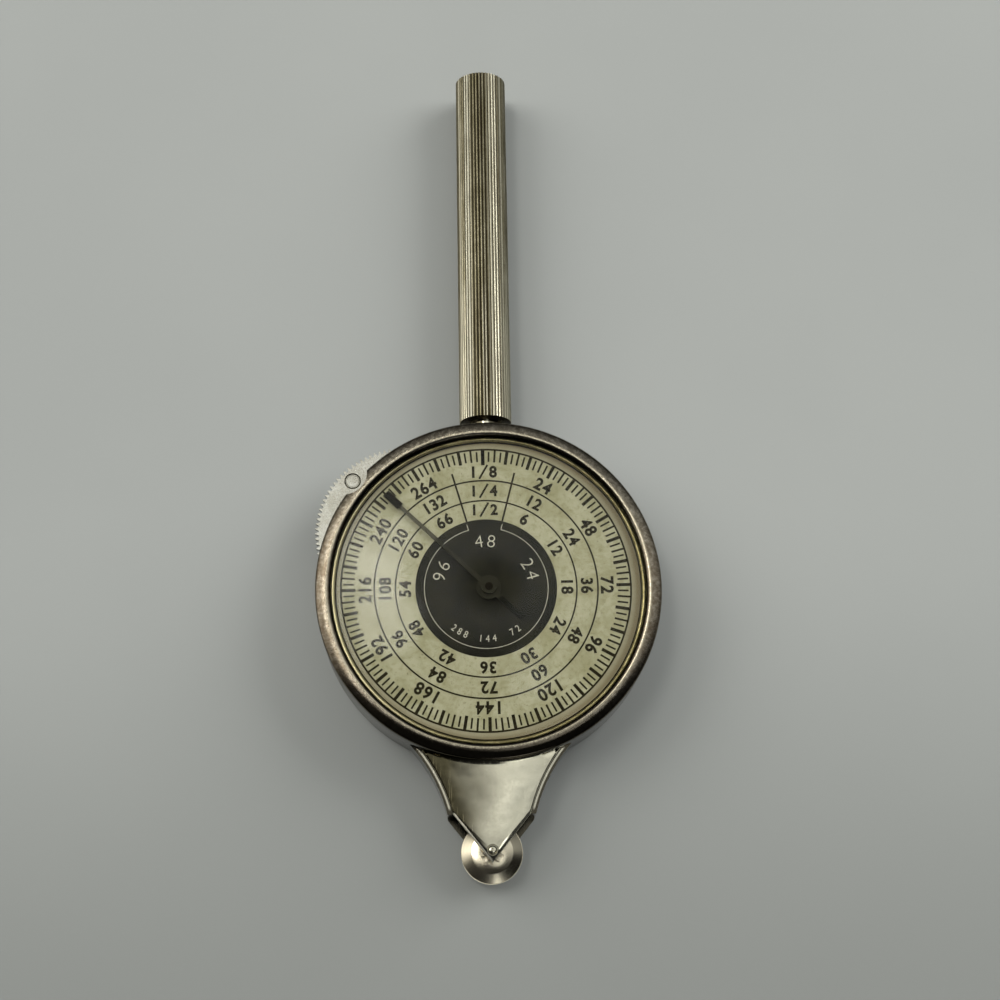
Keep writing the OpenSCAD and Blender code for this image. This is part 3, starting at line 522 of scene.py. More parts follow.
def tarnished_nickel(tree, shader, coord):
    """Handle: dark grooves, dull crests, some of them worn bright over part of their length, with painted
    highlights on two bundles of crests and towards the lower end.
    """
    place = split(tree, coord)
    high = maths(tree, "SUBTRACT", place[2], HANDLE_Z * MM)
    across = put(tree, "CombineXYZ", {0: place[0], 1: 0.0, 2: high})
    reach = put(tree, "VectorMath", {0: across.outputs[0]}, operation="LENGTH").outputs["Value"]
    crest = ramp(tree, reach, 2.60 * MM, 2.69 * MM)
    flute = times(tree, maths(tree, "ARCTAN2", place[0], high), FLUTES / TURN)
    number = maths(tree, "ROUND", flute)
    luck = put(tree, "TexWhiteNoise", {"W": number}, noise_dimensions="1D").outputs["Value"]
    apart = put(tree, "CombineXYZ", {0: times(tree, number, 3 * MM), 1: place[1], 2: 0.0})
    along = noise(tree, apart.outputs[0], 6.0, 2.0, 0.5)
    # Wear and a painted highlight brighten the crests towards the lower end
    low_end = ramp(tree, place[1], 42 * MM, 20 * MM, 0.0, 0.35)
    wear_and_highlight = maths(tree, "ADD", maths(tree, "MULTIPLY_ADD", along, 0.5, luck), low_end)
    wear_and_painted_light = times(tree, crest, ramp(tree, wear_and_highlight, 0.78, 1.15, 0.0, 0.6))
    # Painted highlights: two bright bundles of flutes, counted from the top of the handle
    for first, last in ((-5.5, -3.5), (2.5, 4.5)):
        inside = times(tree, maths(tree, "GREATER_THAN", flute, first), maths(tree, "LESS_THAN", flute, last))
        bright = times(tree, inside, crest, ramp(tree, along, 0.3, 0.55, 0.6, 1.0))
        wear_and_painted_light = maths(tree, "MAXIMUM", wear_and_painted_light, bright)
    spots = blotched(tree, coord, 420.0)
    streak = noise(tree, coord, 0.3, 3.0, 0.6, (1, 0.04, 1))
    skin = blend(tree, spots["Blotches"], (0.30, 0.268, 0.175), (0.20, 0.178, 0.105))
    skin = blend(tree, ramp(tree, streak, 0.45, 0.75, 0.0, 0.6), skin, (0.12, 0.095, 0.055))
    skin = blend(tree, maths(tree, "MULTIPLY_ADD", crest, -0.7, 0.7), skin, (0.055, 0.043, 0.025))
    skin = blend(tree, wear_and_painted_light, skin, (0.90, 0.85, 0.66))
    skin = blend(tree, times(tree, spots["Specks"], 0.35), skin, (0.07, 0.055, 0.03))
    give(shader, tree, Base_Color=skin, Metallic=1.0, Roughness=ramp(tree, streak, 0.3, 0.7, 0.26, 0.42))
    give(shader, tree, Normal=bump(tree, maths(tree, "ADD", spots["Height"], streak), 0.008, 0.6))


def bright_nickel(tree, shader, coord):
    """Reset wheel: pale, with painted shade in the grooves round its rivet and on its underside."""
    grain = noise(tree, coord, 0.10, 2.0, 0.5, (1, 1, 0.2))
    spots = blotched(tree, coord, 500.0)
    rivet = round_axis(tree, coord, RIVET_X, RIVET_Y)
    outer, inner = (maths(tree, "LESS_THAN", off(tree, rivet["Radius"], reach * MM), 0.022 * MM)
                    for reach in (0.82, 0.62))
    groove = maths(tree, "MAXIMUM", outer, times(tree, 0.8, inner))
    skin = blend(tree, spots["Blotches"], (0.58, 0.57, 0.50), (0.45, 0.43, 0.36))
    skin = blend(tree, times(tree, spots["Specks"], 0.3), skin, (0.45, 0.42, 0.32))
    # Painted shade: dark rings in the grooves round the rivet
    skin = blend(tree, groove, skin, (0.05, 0.045, 0.03))
    # Painted shade: the underside of the wheel darkened
    low = ramp(tree, split(tree, coord)[2], 4.56 * MM, 4.3 * MM)
    skin = blend(tree, low, skin, (0.10, 0.09, 0.07))
    give(shader, tree, Base_Color=skin, Metallic=1.0, Roughness=ramp(tree, grain, 0.3, 0.7, 0.24, 0.36))
    give(shader, tree, Normal=bump(tree, grain, 0.004, 0.5))


def turned_nickel(tree, shader, coord):
    """Tracing wheel and its pinion, with the fine rings of the lathe."""
    place = round_axis(tree, coord, 0.0, AXLE_Y)
    fineness = 26000.0
    rings = put(tree, "CombineXYZ", {0: times(tree, place["Radius"], fineness),
                                     1: times(tree, place["Angle"], 0.35),
                                     2: times(tree, place["Height"], fineness)})
    groove = put(tree, "TexNoise", {"Vector": rings.outputs[0], "Scale": 1.0, "Detail": 2.0}).outputs["Fac"]
    skin = blend(tree, groove, (0.90, 0.82, 0.63), (0.74, 0.66, 0.48))
    give(shader, tree, Base_Color=skin, Metallic=1.0, Roughness=0.2, Anisotropic=0.8)
    give(shader, tree, Normal=bump(tree, groove, 0.003, 0.5))
    from_axle = put(tree, "VectorMath", {0: coord, 1: (0.0, AXLE_Y * MM, 0.0)}, operation="SUBTRACT")
    sideways = put(tree, "VectorMath", {0: from_axle.outputs[0], 1: (0.0, 0.0, 1.0)},
                   operation="CROSS_PRODUCT")
    tangent = put(tree, "VectorMath", {0: sideways.outputs[0]}, operation="NORMALIZE")
    give(shader, tree, Tangent=tangent.outputs[0])


def gilt_brass(tree, shader, coord):
    """Ring under the crystal: a painted highlight at the left, painted shade at its two edges."""
    spots = blotched(tree, coord, 600.0)
    place = round_axis(tree, coord)
    skin = blend(tree, spots["Blotches"], (0.44, 0.38, 0.19), (0.22, 0.185, 0.08))
    # Painted highlight: the ring lighter at the left
    left = ramp(tree, facing(tree, place["Angle"], 185), 0.2, 0.9)
    skin = blend(tree, times(tree, left, 0.8), skin, (0.80, 0.72, 0.42))
    # Painted shade: near black in the gaps along both edges
    skin = blend(tree, ramp(tree, place["Radius"], 15.63 * MM, 15.67 * MM), skin, (0.012, 0.010, 0.005))
    skin = blend(tree, ramp(tree, place["Radius"], 15.24 * MM, 15.19 * MM), skin, (0.012, 0.010, 0.005))
    give(shader, tree, Base_Color=skin, Metallic=1.0,
         Roughness=ramp(tree, spots["Height"], 0.3, 0.7, 0.25, 0.42))
    give(shader, tree, Normal=bump(tree, spots["Height"], 0.006, 0.6))


def plain_metal(light, dark, size, low, high):
    """Metal of the movement, with roughness from low to high."""
    def build(tree, shader, coord):
        spots = blotched(tree, coord, size)
        lines = scratched(tree, coord)
        skin = blend(tree, spots["Blotches"], light, dark)
        give(shader, tree, Base_Color=skin, Metallic=1.0,
             Roughness=ramp(tree, spots["Height"], 0.3, 0.7, low, high))
        give(shader, tree, Normal=bump(tree, lines["Height"], 0.004, 0.6))
    return build


def dark_arbor(tree, shader, coord):
    """Pointer arbor: steel below the dial, black at its end in the pointer."""
    high = ramp(tree, split(tree, coord)[2], 6.2 * MM, 6.4 * MM)
    spots = blotched(tree, coord, 900.0)
    skin = blend(tree, spots["Blotches"], (0.52, 0.52, 0.54), (0.40, 0.39, 0.39))
    skin = blend(tree, high, skin, (0.010, 0.008, 0.005))
    give(shader, tree, Base_Color=skin, Metallic=1.0, Roughness=0.34)


def pointer_paint(tree, shader, coord):
    """Pointer: dark hub, black tip, a paler blade over the paper, and a painted shadow that blackens the
    tail.
    """
    place = round_axis(tree, coord)
    hub = inverse(tree, ramp(tree, place["Radius"], 1.22 * MM, 1.3 * MM))
    rust = noise(tree, coord, 0.25, 4.0, 0.65)
    light, dark = (0.030, 0.029, 0.019), (0.020, 0.019, 0.012)
    skin = blend(tree, ramp(tree, rust, 0.35, 0.7), light, dark)
    apart = split(tree, coord)
    # Painted shadow: the tail blackened
    tail = ramp(tree, maths(tree, "SUBTRACT", apart[0], apart[1]), 1.9 * MM, 2.4 * MM)
    skin = blend(tree, tail, skin, (0.006, 0.006, 0.003))
    skin = blend(tree, ramp(tree, place["Radius"], 6.9 * MM, 7.6 * MM), skin, (0.085, 0.08, 0.058))
    skin = blend(tree, ramp(tree, place["Radius"], 11.9 * MM, 12.2 * MM), skin, (0.008, 0.007, 0.004))
    skin = blend(tree, hub, skin, blend(tree, rust, light, dark))
    give(shader, tree, Base_Color=skin, Roughness=0.5, Specular_IOR_Level=0.06)


def dial_paper(tree, shader, coord):
    """Aged card: clouds, flecks and fibre, with painted shade darkening its margin and its edge by the ring.
    """
    large = noise(tree, coord, 3.2, 4.0, 0.6, warp=0.6)
    small = noise(tree, coord, 0.55, 4.0, 0.65)
    fleck = noise(tree, coord, 0.22, 2.0, 0.6)
    fibre = noise(tree, coord, 0.09, 2.0, 0.5)
    skin = blend(tree, ramp(tree, large, 0.35, 0.68), (0.47, 0.455, 0.32), (0.35, 0.335, 0.205))
    skin = blend(tree, ramp(tree, small, 0.45, 0.75, 0.0, 0.6), skin, (0.25, 0.235, 0.115))
    skin = blend(tree, ramp(tree, fleck, 0.64, 0.74, 0.0, 0.6), skin, (0.13, 0.11, 0.05))
    place = round_axis(tree, coord, PRINT_X, PRINT_Y)
    # Painted shade: the margin outside the scale darker, and the edge beside the ring darker and browner
    # still
    margin = ramp(tree, place["Radius"], 14.35 * MM, 14.55 * MM)
    skin = blend(tree, times(tree, margin, 0.7), skin, (0.30, 0.27, 0.19))
    edge = ramp(tree, place["Radius"], 14.6 * MM, 15.1 * MM, 0.0, 0.75)
    skin = blend(tree, edge, skin, (0.20, 0.16, 0.09))
    give(shader, tree, Base_Color=skin, Roughness=0.62, Specular_IOR_Level=0.15)
    give(shader, tree, Normal=bump(tree, fibre, 0.006, 0.5))


def ink(tree, shader, coord):
    """Black print, a little thin in places."""
    patch = noise(tree, coord, 0.35, 3.0, 0.6)
    skin = blend(tree, ramp(tree, patch, 0.3, 0.75), (0.010, 0.008, 0.003), (0.028, 0.022, 0.010))
    give(shader, tree, Base_Color=skin, Roughness=0.55, Specular_IOR_Level=0.1)


def black_disc(tree, shader, coord):
    """Black middle of the dial with pale flecks."""
    cloud = noise(tree, coord, 2.6, 4.0, 0.6)
    fleck = noise(tree, coord, 0.18, 3.0, 0.6)
    skin = blend(tree, ramp(tree, cloud, 0.35, 0.68), (0.008, 0.0075, 0.004), (0.018, 0.017, 0.009))
    skin = blend(tree, ramp(tree, fleck, 0.66, 0.76, 0.0, 0.5), skin, (0.09, 0.08, 0.05))
    give(shader, tree, Base_Color=skin, Specular_IOR_Level=0.1,
         Roughness=ramp(tree, cloud, 0.3, 0.7, 0.42, 0.55))


def white_line(tree, shader, coord):
    """Off-white print on the black disc."""
    patch = noise(tree, coord, 0.3, 3.0, 0.6)
    skin = blend(tree, ramp(tree, patch, 0.35, 0.75), (0.62, 0.60, 0.50), (0.42, 0.40, 0.30))
    give(shader, tree, Base_Color=skin, Roughness=0.6)


def crystal_glass(tree, shader, coord):
    """Clear crystal. Its low refractive index keeps the plain studio's haze off the dial."""
    faint = noise(tree, coord, 6.0, 2.0, 0.5)
    rub = scratched(tree, coord)
    give(shader, tree, Base_Color=(0.985, 0.985, 0.96),
         Roughness=ramp(tree, rub["Lines"], 0.0, 1.0, 0.004, 0.02),
         IOR=1.22, Transmission_Weight=1.0, Normal=bump(tree, faint, 0.01, 0.3))
    # Light on its way to the dial passes straight through, so the crystal casts no dark shadow
    path = put(tree, "LightPath").outputs
    clear_way = put(tree, "BsdfTransparent", {"Color": (0.96, 0.96, 0.93)})
    through = maths(tree, "MAXIMUM", path["Is Shadow Ray"], path["Is Diffuse Ray"])
    mixed = put(tree, "MixShader", {0: through, 1: shader.outputs[0], 2: clear_way.outputs[0]})
    tree.links.new(mixed.outputs[0], tree.nodes["Material Output"].inputs["Surface"])


def pale_floor(tree, shader, coord):
    """Pale grey table with painted shade that darkens it towards the camera's near edge."""
    cloud = noise(tree, coord, 60.0, 4.0, 0.55)
    grain = noise(tree, coord, 0.5, 3.0, 0.6)
    place = split(tree, coord)
    skin = blend(tree, ramp(tree, cloud, 0.3, 0.7), (0.43, 0.445, 0.425), (0.41, 0.425, 0.407))
    # Painted shade: the floor darkens towards the near edge
    skin = blend(tree, ramp(tree, place[1], 10 * MM, -45 * MM, 0.0, 0.62), skin, (0.22, 0.23, 0.215))
    give(shader, tree, Base_Color=skin, Roughness=0.75)
    give(shader, tree, Normal=bump(tree, grain, 0.02, 0.25))


finishes = {
    "worn_nickel": material("worn_nickel", worn_nickel, (0.56, 0.51, 0.43)),
    "polished_nickel": material("polished_nickel", polished_nickel, (0.78, 0.75, 0.64)),
    "tarnished_nickel": material("tarnished_nickel", tarnished_nickel, (0.42, 0.39, 0.31)),
    "bright_nickel": material("bright_nickel", bright_nickel, (0.82, 0.81, 0.77)),
    "turned_nickel": material("turned_nickel", turned_nickel, (0.82, 0.8, 0.72)),
    "gilt_brass": material("gilt_brass", gilt_brass, (0.62, 0.50, 0.24)),
    "brass": material("turned_brass", plain_metal((0.74, 0.58, 0.28), (0.58, 0.43, 0.18), 500.0, 0.22, 0.38),
                      (0.7, 0.57, 0.3)),
    "steel": material("ground_steel", plain_metal((0.56, 0.56, 0.58), (0.40, 0.39, 0.39), 700.0, 0.22, 0.36),
                      (0.5, 0.5, 0.52)),
    "dark_arbor": material("arbor_steel", dark_arbor, (0.4, 0.4, 0.4)),
    "blued_steel": material("pointer_paint", pointer_paint, (0.06, 0.06, 0.06)),
    "glass": material("crystal_glass", crystal_glass, (0.93, 0.96, 0.95)),
    "dial_print": material("dial_paper", dial_paper, (0.74, 0.73, 0.56)),
    "ink": material("dial_ink", ink, (0.05, 0.04, 0.02)),
    "black_disc": material("dial_black", black_disc, (0.06, 0.06, 0.04)),
    "white_line": material("dial_white", white_line, (0.6, 0.6, 0.5)),
    "floor": material("pale_floor", pale_floor, (0.42, 0.43, 0.42)),
}


def finished(piece, finish, body="case", stands_for=()):
    """Gives a piece its material, the body it rides on and the solids it replaces."""
    piece.data.materials.clear()
    piece.data.materials.append(finishes[finish])
    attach(piece, body)
    if stands_for:
        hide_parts(*stands_for)
    return piece


slots = {part["node"]: part["material_slot"] for part in frame["record"]["subparts"]}
for node, shape in nodes.items():
    shape.data.materials.clear()
    shape.data.materials.append(finishes[slots[node]])
nodes["pointer_arbor"].data.materials[0] = finishes["dark_arbor"]
nodes["tracing_pinion"].data.materials[0] = finishes["turned_nickel"]


# ---------------------------------------------------------------- camera, light and floor

# Solved from the photograph's perspective of the printed circles, the handle and the nose
camera = bpy.data.objects.new("camera", bpy.data.cameras.new("camera"))
bpy.context.scene.collection.objects.link(camera)
camera.location = Vector((-4.48839, -41.36206, 175.50331)) * MM
camera.rotation_euler = Euler([math.radians(a) for a in (16.612011, -1.654158, -0.983879)])
camera.data.lens = 63.0877
camera.data.sensor_width = 36
camera.data.clip_start, camera.data.clip_end = 0.01, 10
bpy.context.scene.camera = camera

clear()
FLOOR_GAP = 0.00002  # keeps the floor off the back cover
bpy.ops.mesh.primitive_plane_add(size=1.6, location=(0, 0.05, -FLOOR_GAP))
floor = settle(named("floor"))
floor.data.materials.append(finishes["floor"])


LAMP_SIZE, LAMP_AIM = 0.55, Vector((0, 0.01, 0))


def softbox(name, place, power, colour):
    """Soft lamp that lights the paper and the floor; the metals mirror the studio instead."""
    data = bpy.data.lights.new(name, "AREA")
    data.shape, data.size, data.size_y = "RECTANGLE", LAMP_SIZE, LAMP_SIZE
    data.energy, data.color = power, colour
    lamp = bpy.data.objects.new(name, data)
    lamp.location = place
    lamp.rotation_euler = (LAMP_AIM - Vector(place)).to_track_quat("-Z", "Y").to_euler()
    lamp.visible_glossy = lamp.visible_transmission = False
    bpy.context.scene.collection.objects.link(lamp)


softbox("left_light", (-0.55, 0.36, 0.42), 2.25, (1.0, 0.998, 0.985))
softbox("right_light", (0.62, 0.36, 0.42), 4.5, (1.0, 1.0, 0.99))

world = bpy.data.worlds.new("studio")
bpy.context.scene.world = world
world.use_nodes = True
sky = world.node_tree
way = split(sky, put(sky, "TexCoord").outputs["Generated"])


def patch(towards, inner, outer, level):
    """Patch round one direction: full level inside the inner angle, nothing past the outer one."""
    aim = Vector(towards).normalized()
    along = put(sky, "VectorMath", {0: put(sky, "TexCoord").outputs["Generated"], 1: tuple(aim)},
                operation="DOT_PRODUCT")
    return ramp(sky, along.outputs["Value"], math.cos(math.radians(outer)), math.cos(math.radians(inner)),
                0.0, level)


# A studio that is brighter at the left and overhead, dimmer at the far side, dark at the near one
side = times(sky, ramp(sky, way[0], -0.15, -0.7, 1.0, 1.25), ramp(sky, way[0], 0.1, 0.7, 1.0, 0.68),
             ramp(sky, way[2], 0.2, 0.8, 0.15, 1.0))
far = ramp(sky, way[1], 0.35, 0.85, 1.0, 0.4)
near = ramp(sky, way[1], -0.03, 0.16, 0.03, 1.0)
shade = patch((0.03, 0.235, 0.97), 1.5, 7.5, 0.88)  # dark ceiling that the middle of the crystal mirrors
level = times(sky, side, far, near, 0.92, inverse(sky, shade))
PATCHES = [
    ((0.2, -0.86, 0.46), 3, 11, 1.6),       # near side
    ((-0.72, 0.28, 0.63), 6, 20, 0.9),      # left
    ((-0.93, 0.0, 0.36), 5, 18, 1.0),       # left and low
    ((-0.31, 0.37, 0.88), 1.5, 8, 4.8),     # three that the crystal mirrors at its left
    ((-0.33, 0.25, 0.91), 1.5, 8, 4.8),
    ((-0.30, 0.13, 0.945), 1.5, 8, 4.8),
    ((0.15, -0.05, 1.0), 1, 6, 2.0),        # overhead
]
for row in PATCHES:
    level = maths(sky, "ADD", level, patch(*row))
backdrop = sky.nodes["Background"].inputs
socket(sky, backdrop["Color"], blend(sky, ramp(sky, way[0], 0.3, -0.6), (0.97, 1.0, 1.0), (1.0, 0.985, 0.94)))
# What the camera sees past the floor is a plain pale grey
seen = put(sky, "LightPath").outputs["Is Camera Ray"]
plain = times(sky, seen, 0.42)
socket(sky, backdrop["Strength"], maths(sky, "MULTIPLY_ADD", inverse(sky, seen), level, plain))
bpy.context.scene.view_settings.view_transform = "Standard"


# ---------------------------------------------------------------- bezel, crystal and ring

SKIRT_IN, GLASS_HOLE, LIP_IN, LIP_Z, SEAT_Z = 16.8, 15.85, 15.68, 6.82, 5.9
RIDGE_R, FLANK_R = 16.1, 2.1  # the flank is an arc of this radius that starts on the ridge


def flank(r):
    """Height of the flank at this radius."""
    return RIDGE_Z - FLANK_R + math.sqrt(FLANK_R ** 2 - (r - RIDGE_R) ** 2)


side_top = flank(CASE_R)
profile = [(SKIRT_IN, BEZEL_Z), (CASE_R - 0.06, BEZEL_Z), (CASE_R, BEZEL_Z + 0.06), (CASE_R, side_top - 0.16),
           (CASE_R - 0.02, side_top - 0.07), (CASE_R - 0.07, side_top + 0.02)]
profile += [(r, flank(r)) for r in (17.03, 16.9, 16.75, 16.6, 16.45, 16.32, 16.22)]
profile += [(16.15, RIDGE_Z), (16.06, RIDGE_Z), (15.98, RIDGE_Z - 0.01), (15.9, RIDGE_Z - 0.04),
            (15.83, RIDGE_Z - 0.09), (15.76, RIDGE_Z - 0.17), (LIP_IN, RIDGE_Z - 0.25), (LIP_IN, LIP_Z),
            (GLASS_HOLE, LIP_Z), (GLASS_HOLE, SEAT_Z), (SKIRT_IN, SEAT_Z)]
bezel = turned("bezel_ring", profile, steps=256, angle=32)

# Thumb scoop in the rim over the reset wheel
SCOOP_A, SCOOP_R, SCOOP_DEPTH, SCOOP_Z = math.radians(140.5), 2.2, 0.85, 6.6
out = CASE_R - SCOOP_DEPTH + SCOOP_R
clear()
bpy.ops.mesh.primitive_cylinder_add(
    vertices=96, radius=SCOOP_R * MM, depth=4 * MM,
    location=(out * math.cos(SCOOP_A) * MM, out * math.sin(SCOOP_A) * MM, SCOOP_Z * MM))
cutter = settle(named("scoop_cutter"))
modified(bezel, "BOOLEAN", operation="DIFFERENCE", object=cutter, solver="EXACT")
bpy.data.objects.remove(cutter)
smooth(bezel, 32)
finished(bezel, "worn_nickel", stands_for=["bezel"])

# The crystal is a slice of a sphere with this radius and centre height
DOME_R, DOME_Z, GLASS_T = 74.2735, -65.8235, 0.5
domes = []
for radius, order in ((DOME_R, 1), (DOME_R - GLASS_T, -1)):
    rim = GLASS_R if order == 1 else math.sqrt(radius ** 2 - (GLASS_Z - DOME_Z) ** 2)
    arc = [(rim * k / 20, DOME_Z + math.sqrt(radius ** 2 - (rim * k / 20) ** 2)) for k in range(21)]
    domes.append(arc[::order])
outer, inner = domes
edge_z = outer[-1][1]
edge = [(GLASS_R - 0.06, edge_z + 0.005), (GLASS_R, edge_z - 0.05), (GLASS_R, GLASS_Z)]
crystal = turned("watch_crystal", outer[:-1] + edge + inner, angle=30)
finished(crystal, "glass", stands_for=["crystal"])

# Ring under the crystal: a rounded bead between its inner edge and the seat of the crystal
ring_top, RING_IN, BEAD_R = GLASS_Z - 0.01, 15.1, 15.42
ring = [(RING_IN, CARD_Z), (GLASS_R, CARD_Z), (GLASS_R, ring_top), (15.7, ring_top),
        (15.68, ring_top - 0.15), (15.62, ring_top - 0.15)]
for degrees in range(0, 181, 20):
    a = math.radians(degrees)
    ring.append((BEAD_R + 0.19 * math.cos(a), ring_top - 0.14 + 0.13 * math.sin(a)))
ring += [(15.2, ring_top - 0.17), (RING_IN, ring_top - 0.18)]
gilt_ring = turned("gilt_ring", ring, steps=256, angle=50)
finished(gilt_ring, "gilt_brass", stands_for=["spacer_ring"])


# ---------------------------------------------------------------- dial print

# Tops of the three layers of print over the card
INK_Z = CARD_Z + 0.006
DISC_Z = CARD_Z + 0.004
LINE_Z = DISC_Z + 0.006
DISC_R, SCALE_R = 7.04, 14.4
DIGIT_HEIGHT = 0.729  # of the font's size


def bar(name, length, width, z0, z1):
    """Upright bar from the origin along +Y."""
    clear()
    bpy.ops.mesh.primitive_cube_add(size=MM, location=(0, length / 2 * MM, (z0 + z1) / 2 * MM),
                                    scale=(width, length, z1 - z0))
    return settle(named(name))


def spun(piece, turn):
    """Turns a piece round the print's centre."""
    edit(piece)
    bpy.ops.transform.rotate(value=turn, orient_axis="Z", center_override=(PRINT_X * MM, PRINT_Y * MM, 0))
    bpy.ops.object.mode_set(mode="OBJECT")
    return piece


def placing(radius, turn, x=0.0):
    """Brings what is drawn upright at the origin to a clock angle round the print's centre."""
    return (Matrix.Translation(Vector((PRINT_X, PRINT_Y, 0)) * MM) @ Matrix.Rotation(-turn, 4, "Z")
            @ Matrix.Translation(Vector((x, radius, 0)) * MM))


def leaning(piece, x, y, turn):
    """Turns an upright piece clockwise round the origin, then shifts it on the print."""
    shift = Matrix.Translation(Vector((PRINT_X + x, PRINT_Y + y, 0)) * MM)
    piece.data.transform(shift @ Matrix.Rotation(-turn, 4, "Z"))
    return piece


def ticks(name, count, first, step, r_in, r_out, width):
    """Row of marks across the scale, from the clock angle first on."""
    piece = bar(name, r_out - r_in, width, CARD_Z, INK_Z)
    piece.data.transform(placing(r_in, first))
    copies = [piece]
    for k in range(1, count):
        copy = piece.copy()
        copy.data = piece.data.copy()
        bpy.context.scene.collection.objects.link(copy)
        copies.append(spun(copy, k * step))
    return join(name, copies)


def numeral(text, height, radius, turn, z0, z1, weight, x=0.0, squeeze=0.95):
    """Digit of this height in Blender's own font, centred on its place and thickened by the weight."""
    clear()
    bpy.ops.object.text_add()
    label = bpy.context.object
    label.data.body = text
    label.data.align_x, label.data.align_y = "CENTER", "CENTER"
    label.data.size = height / DIGIT_HEIGHT * MM
    label.data.offset = weight * MM
    label.data.extrude = (z1 - z0) / 2 * MM
    label.data.resolution_u = 4
    bpy.ops.object.convert(target="MESH")
    label = bpy.context.object
    corners = [v.co for v in label.data.vertices]
    middle = [(min(c[i] for c in corners) + max(c[i] for c in corners)) / 2 for i in range(2)]
    centring = Matrix.Translation((-middle[0], -middle[1], 0))
    label.data.transform(Matrix.Diagonal((squeeze, 1, 1, 1)) @ centring)
    label.data.transform(placing(radius, turn, x) @ Matrix.Translation((0, 0, (z0 + z1) / 2 * MM)))
    return label


INK_WEIGHT = 0.058
RING_LINES = ((9.01, 0.155), (11.11, 0.165), (SCALE_R, 0.185))
inked = [band("ring_line", r, w, CARD_Z, INK_Z, steps=144) for r, w in RING_LINES]
step = TURN / 144
inked.append(ticks("odd_ticks", 72, step, TURN / 72, 13.1, 14.16, 0.18))
inked.append(ticks("even_ticks", 36, 2 * step, TURN / 36, 13.07, SCALE_R, 0.2))
inked.append(ticks("bold_ticks", 36, 0, TURN / 36, 12.95, SCALE_R, 0.32))
inked.append(ticks("zero_tick", 1, 0, 0, 12.75, SCALE_R, 0.36))
# Two lines that fence in the fractions at the top
for side_x in (-1, 1):
    (x0, y0), (x1, y1) = (1.78 * side_x, 6.82), (3.16 * side_x, 11.87)
    rule = bar("divider", math.hypot(x1 - x0, y1 - y0), 0.185, CARD_Z, INK_Z)
    inked.append(leaning(rule, x0, y0, math.atan2(x1 - x0, y1 - y0)))
# Three scales: radius, digit height, feet to a twelfth of a turn, lower part of the fraction, pitch
SCALES = ((12.03, 1.25, 24, "8", 0.93), (10.03, 1.18, 12, "4", 0.86), (8.05, 1.16, 6, "2", 0.88))
for radius, height, unit, part, advance in SCALES:
    for k in range(12):
        digits = str(unit * k) if k else "1" + part
        gap = advance if k else 2.0
        for j, digit in enumerate(digits):
            x = (j - (len(digits) - 1) / 2) * gap
            size = height * (1 if k else 0.95)
            inked.append(numeral(digit, size, radius, k * TURN / 12, CARD_Z, INK_Z, INK_WEIGHT, x))
    inked.append(leaning(bar("slash", 1.7, 0.2, CARD_Z, INK_Z), -0.41, radius - 0.72, 0.53))
ink_print = spun(join("dial_numbers", inked), PRINT_TURN)
finished(ink_print, "ink")

disc = turned("dial_disc", [(0, CARD_Z), (DISC_R, CARD_Z), (DISC_R, DISC_Z), (0, DISC_Z)],
              PRINT_X, PRINT_Y, steps=144)
finished(disc, "black_disc")

# White ring, open for GAP at each side of the top, with a short hook at each end
GAP = math.radians(15.3)
white = [band("white_ring", 6.15, 0.06, DISC_Z, LINE_Z, steps=128,
              start=math.pi / 2 - GAP, sweep=TURN - 2 * GAP)]
for side_x in (-1, 1):
    hook = bar("hook", 0.62, 0.07, DISC_Z, LINE_Z)
    white.append(leaning(hook, 1.62 * side_x, 5.92, 0.26 * side_x))
for text, turn in (("96", -68), ("48", 0), ("24", 68)):
    for k, letter in enumerate(text):
        lean = turn + (k - 0.5) * 15
        white.append(numeral(letter, 1.36, 4.8, math.radians(lean), DISC_Z, LINE_Z, -0.028, squeeze=1.0))
for text, turn in (("72", 148), ("144", 180), ("288", 212)):  # read upright at the bottom
    for k, letter in enumerate(text):
        lean = turn - (k - (len(text) - 1) / 2) * 7.5 - 180
        white.append(numeral(letter, 0.72, -5.15, math.radians(lean), DISC_Z, LINE_Z, 0.0, squeeze=0.85))
finished(spun(join("dial_white_lines", white), PRINT_TURN), "white_line")


# ---------------------------------------------------------------- handle

low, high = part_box("handle")
clear()
# Depth of a flute at its crest and at the five points from there to the next crest
FLUTE = [0, 0.012, 0.055, FLUTE_DEPTH, 0.055, 0.012]
points = FLUTES * len(FLUTE)
bpy.ops.mesh.primitive_cylinder_add(vertices=points, radius=HANDLE_R * MM, depth=(high.y - low.y),
                                    location=(0, (low.y + high.y) / 2, HANDLE_Z * MM),
                                    rotation=(math.pi / 2, 0, 0))
handle = settle(named("handle_grip"))
edit(handle)
for k, depth in enumerate(FLUTE):
    if depth:
        pick(handle, lambda v: round(math.atan2(v.co.z - HANDLE_Z * MM, v.co.x) / TURN * points)
             % len(FLUTE) == k)
        scale = 1 - depth / HANDLE_R
        bpy.ops.transform.resize(value=(scale, 1, scale), center_override=(0, 0, HANDLE_Z * MM))
for end, inward in ((low.y, 1), (high.y, -1)):  # rounds the rims of both ends
    pick(handle, lambda f: abs(f.calc_center_median().y - end) < 1e-6, "FACE")
    bpy.ops.mesh.inset(thickness=0.12 * MM, depth=0)
    pick(handle, lambda v: abs(v.co.y - end) < 1e-6
         and Vector((v.co.x, v.co.z - HANDLE_Z * MM)).length > 2.54 * MM)
    bpy.ops.transform.translate(value=(0, inward * 0.09 * MM, 0))
bpy.ops.object.mode_set(mode="OBJECT")
clean(handle)
smooth(handle, 24)
finished(handle, "tarnished_nickel", stands_for=["handle"])


# ---------------------------------------------------------------- nose, axle head and tracing wheel

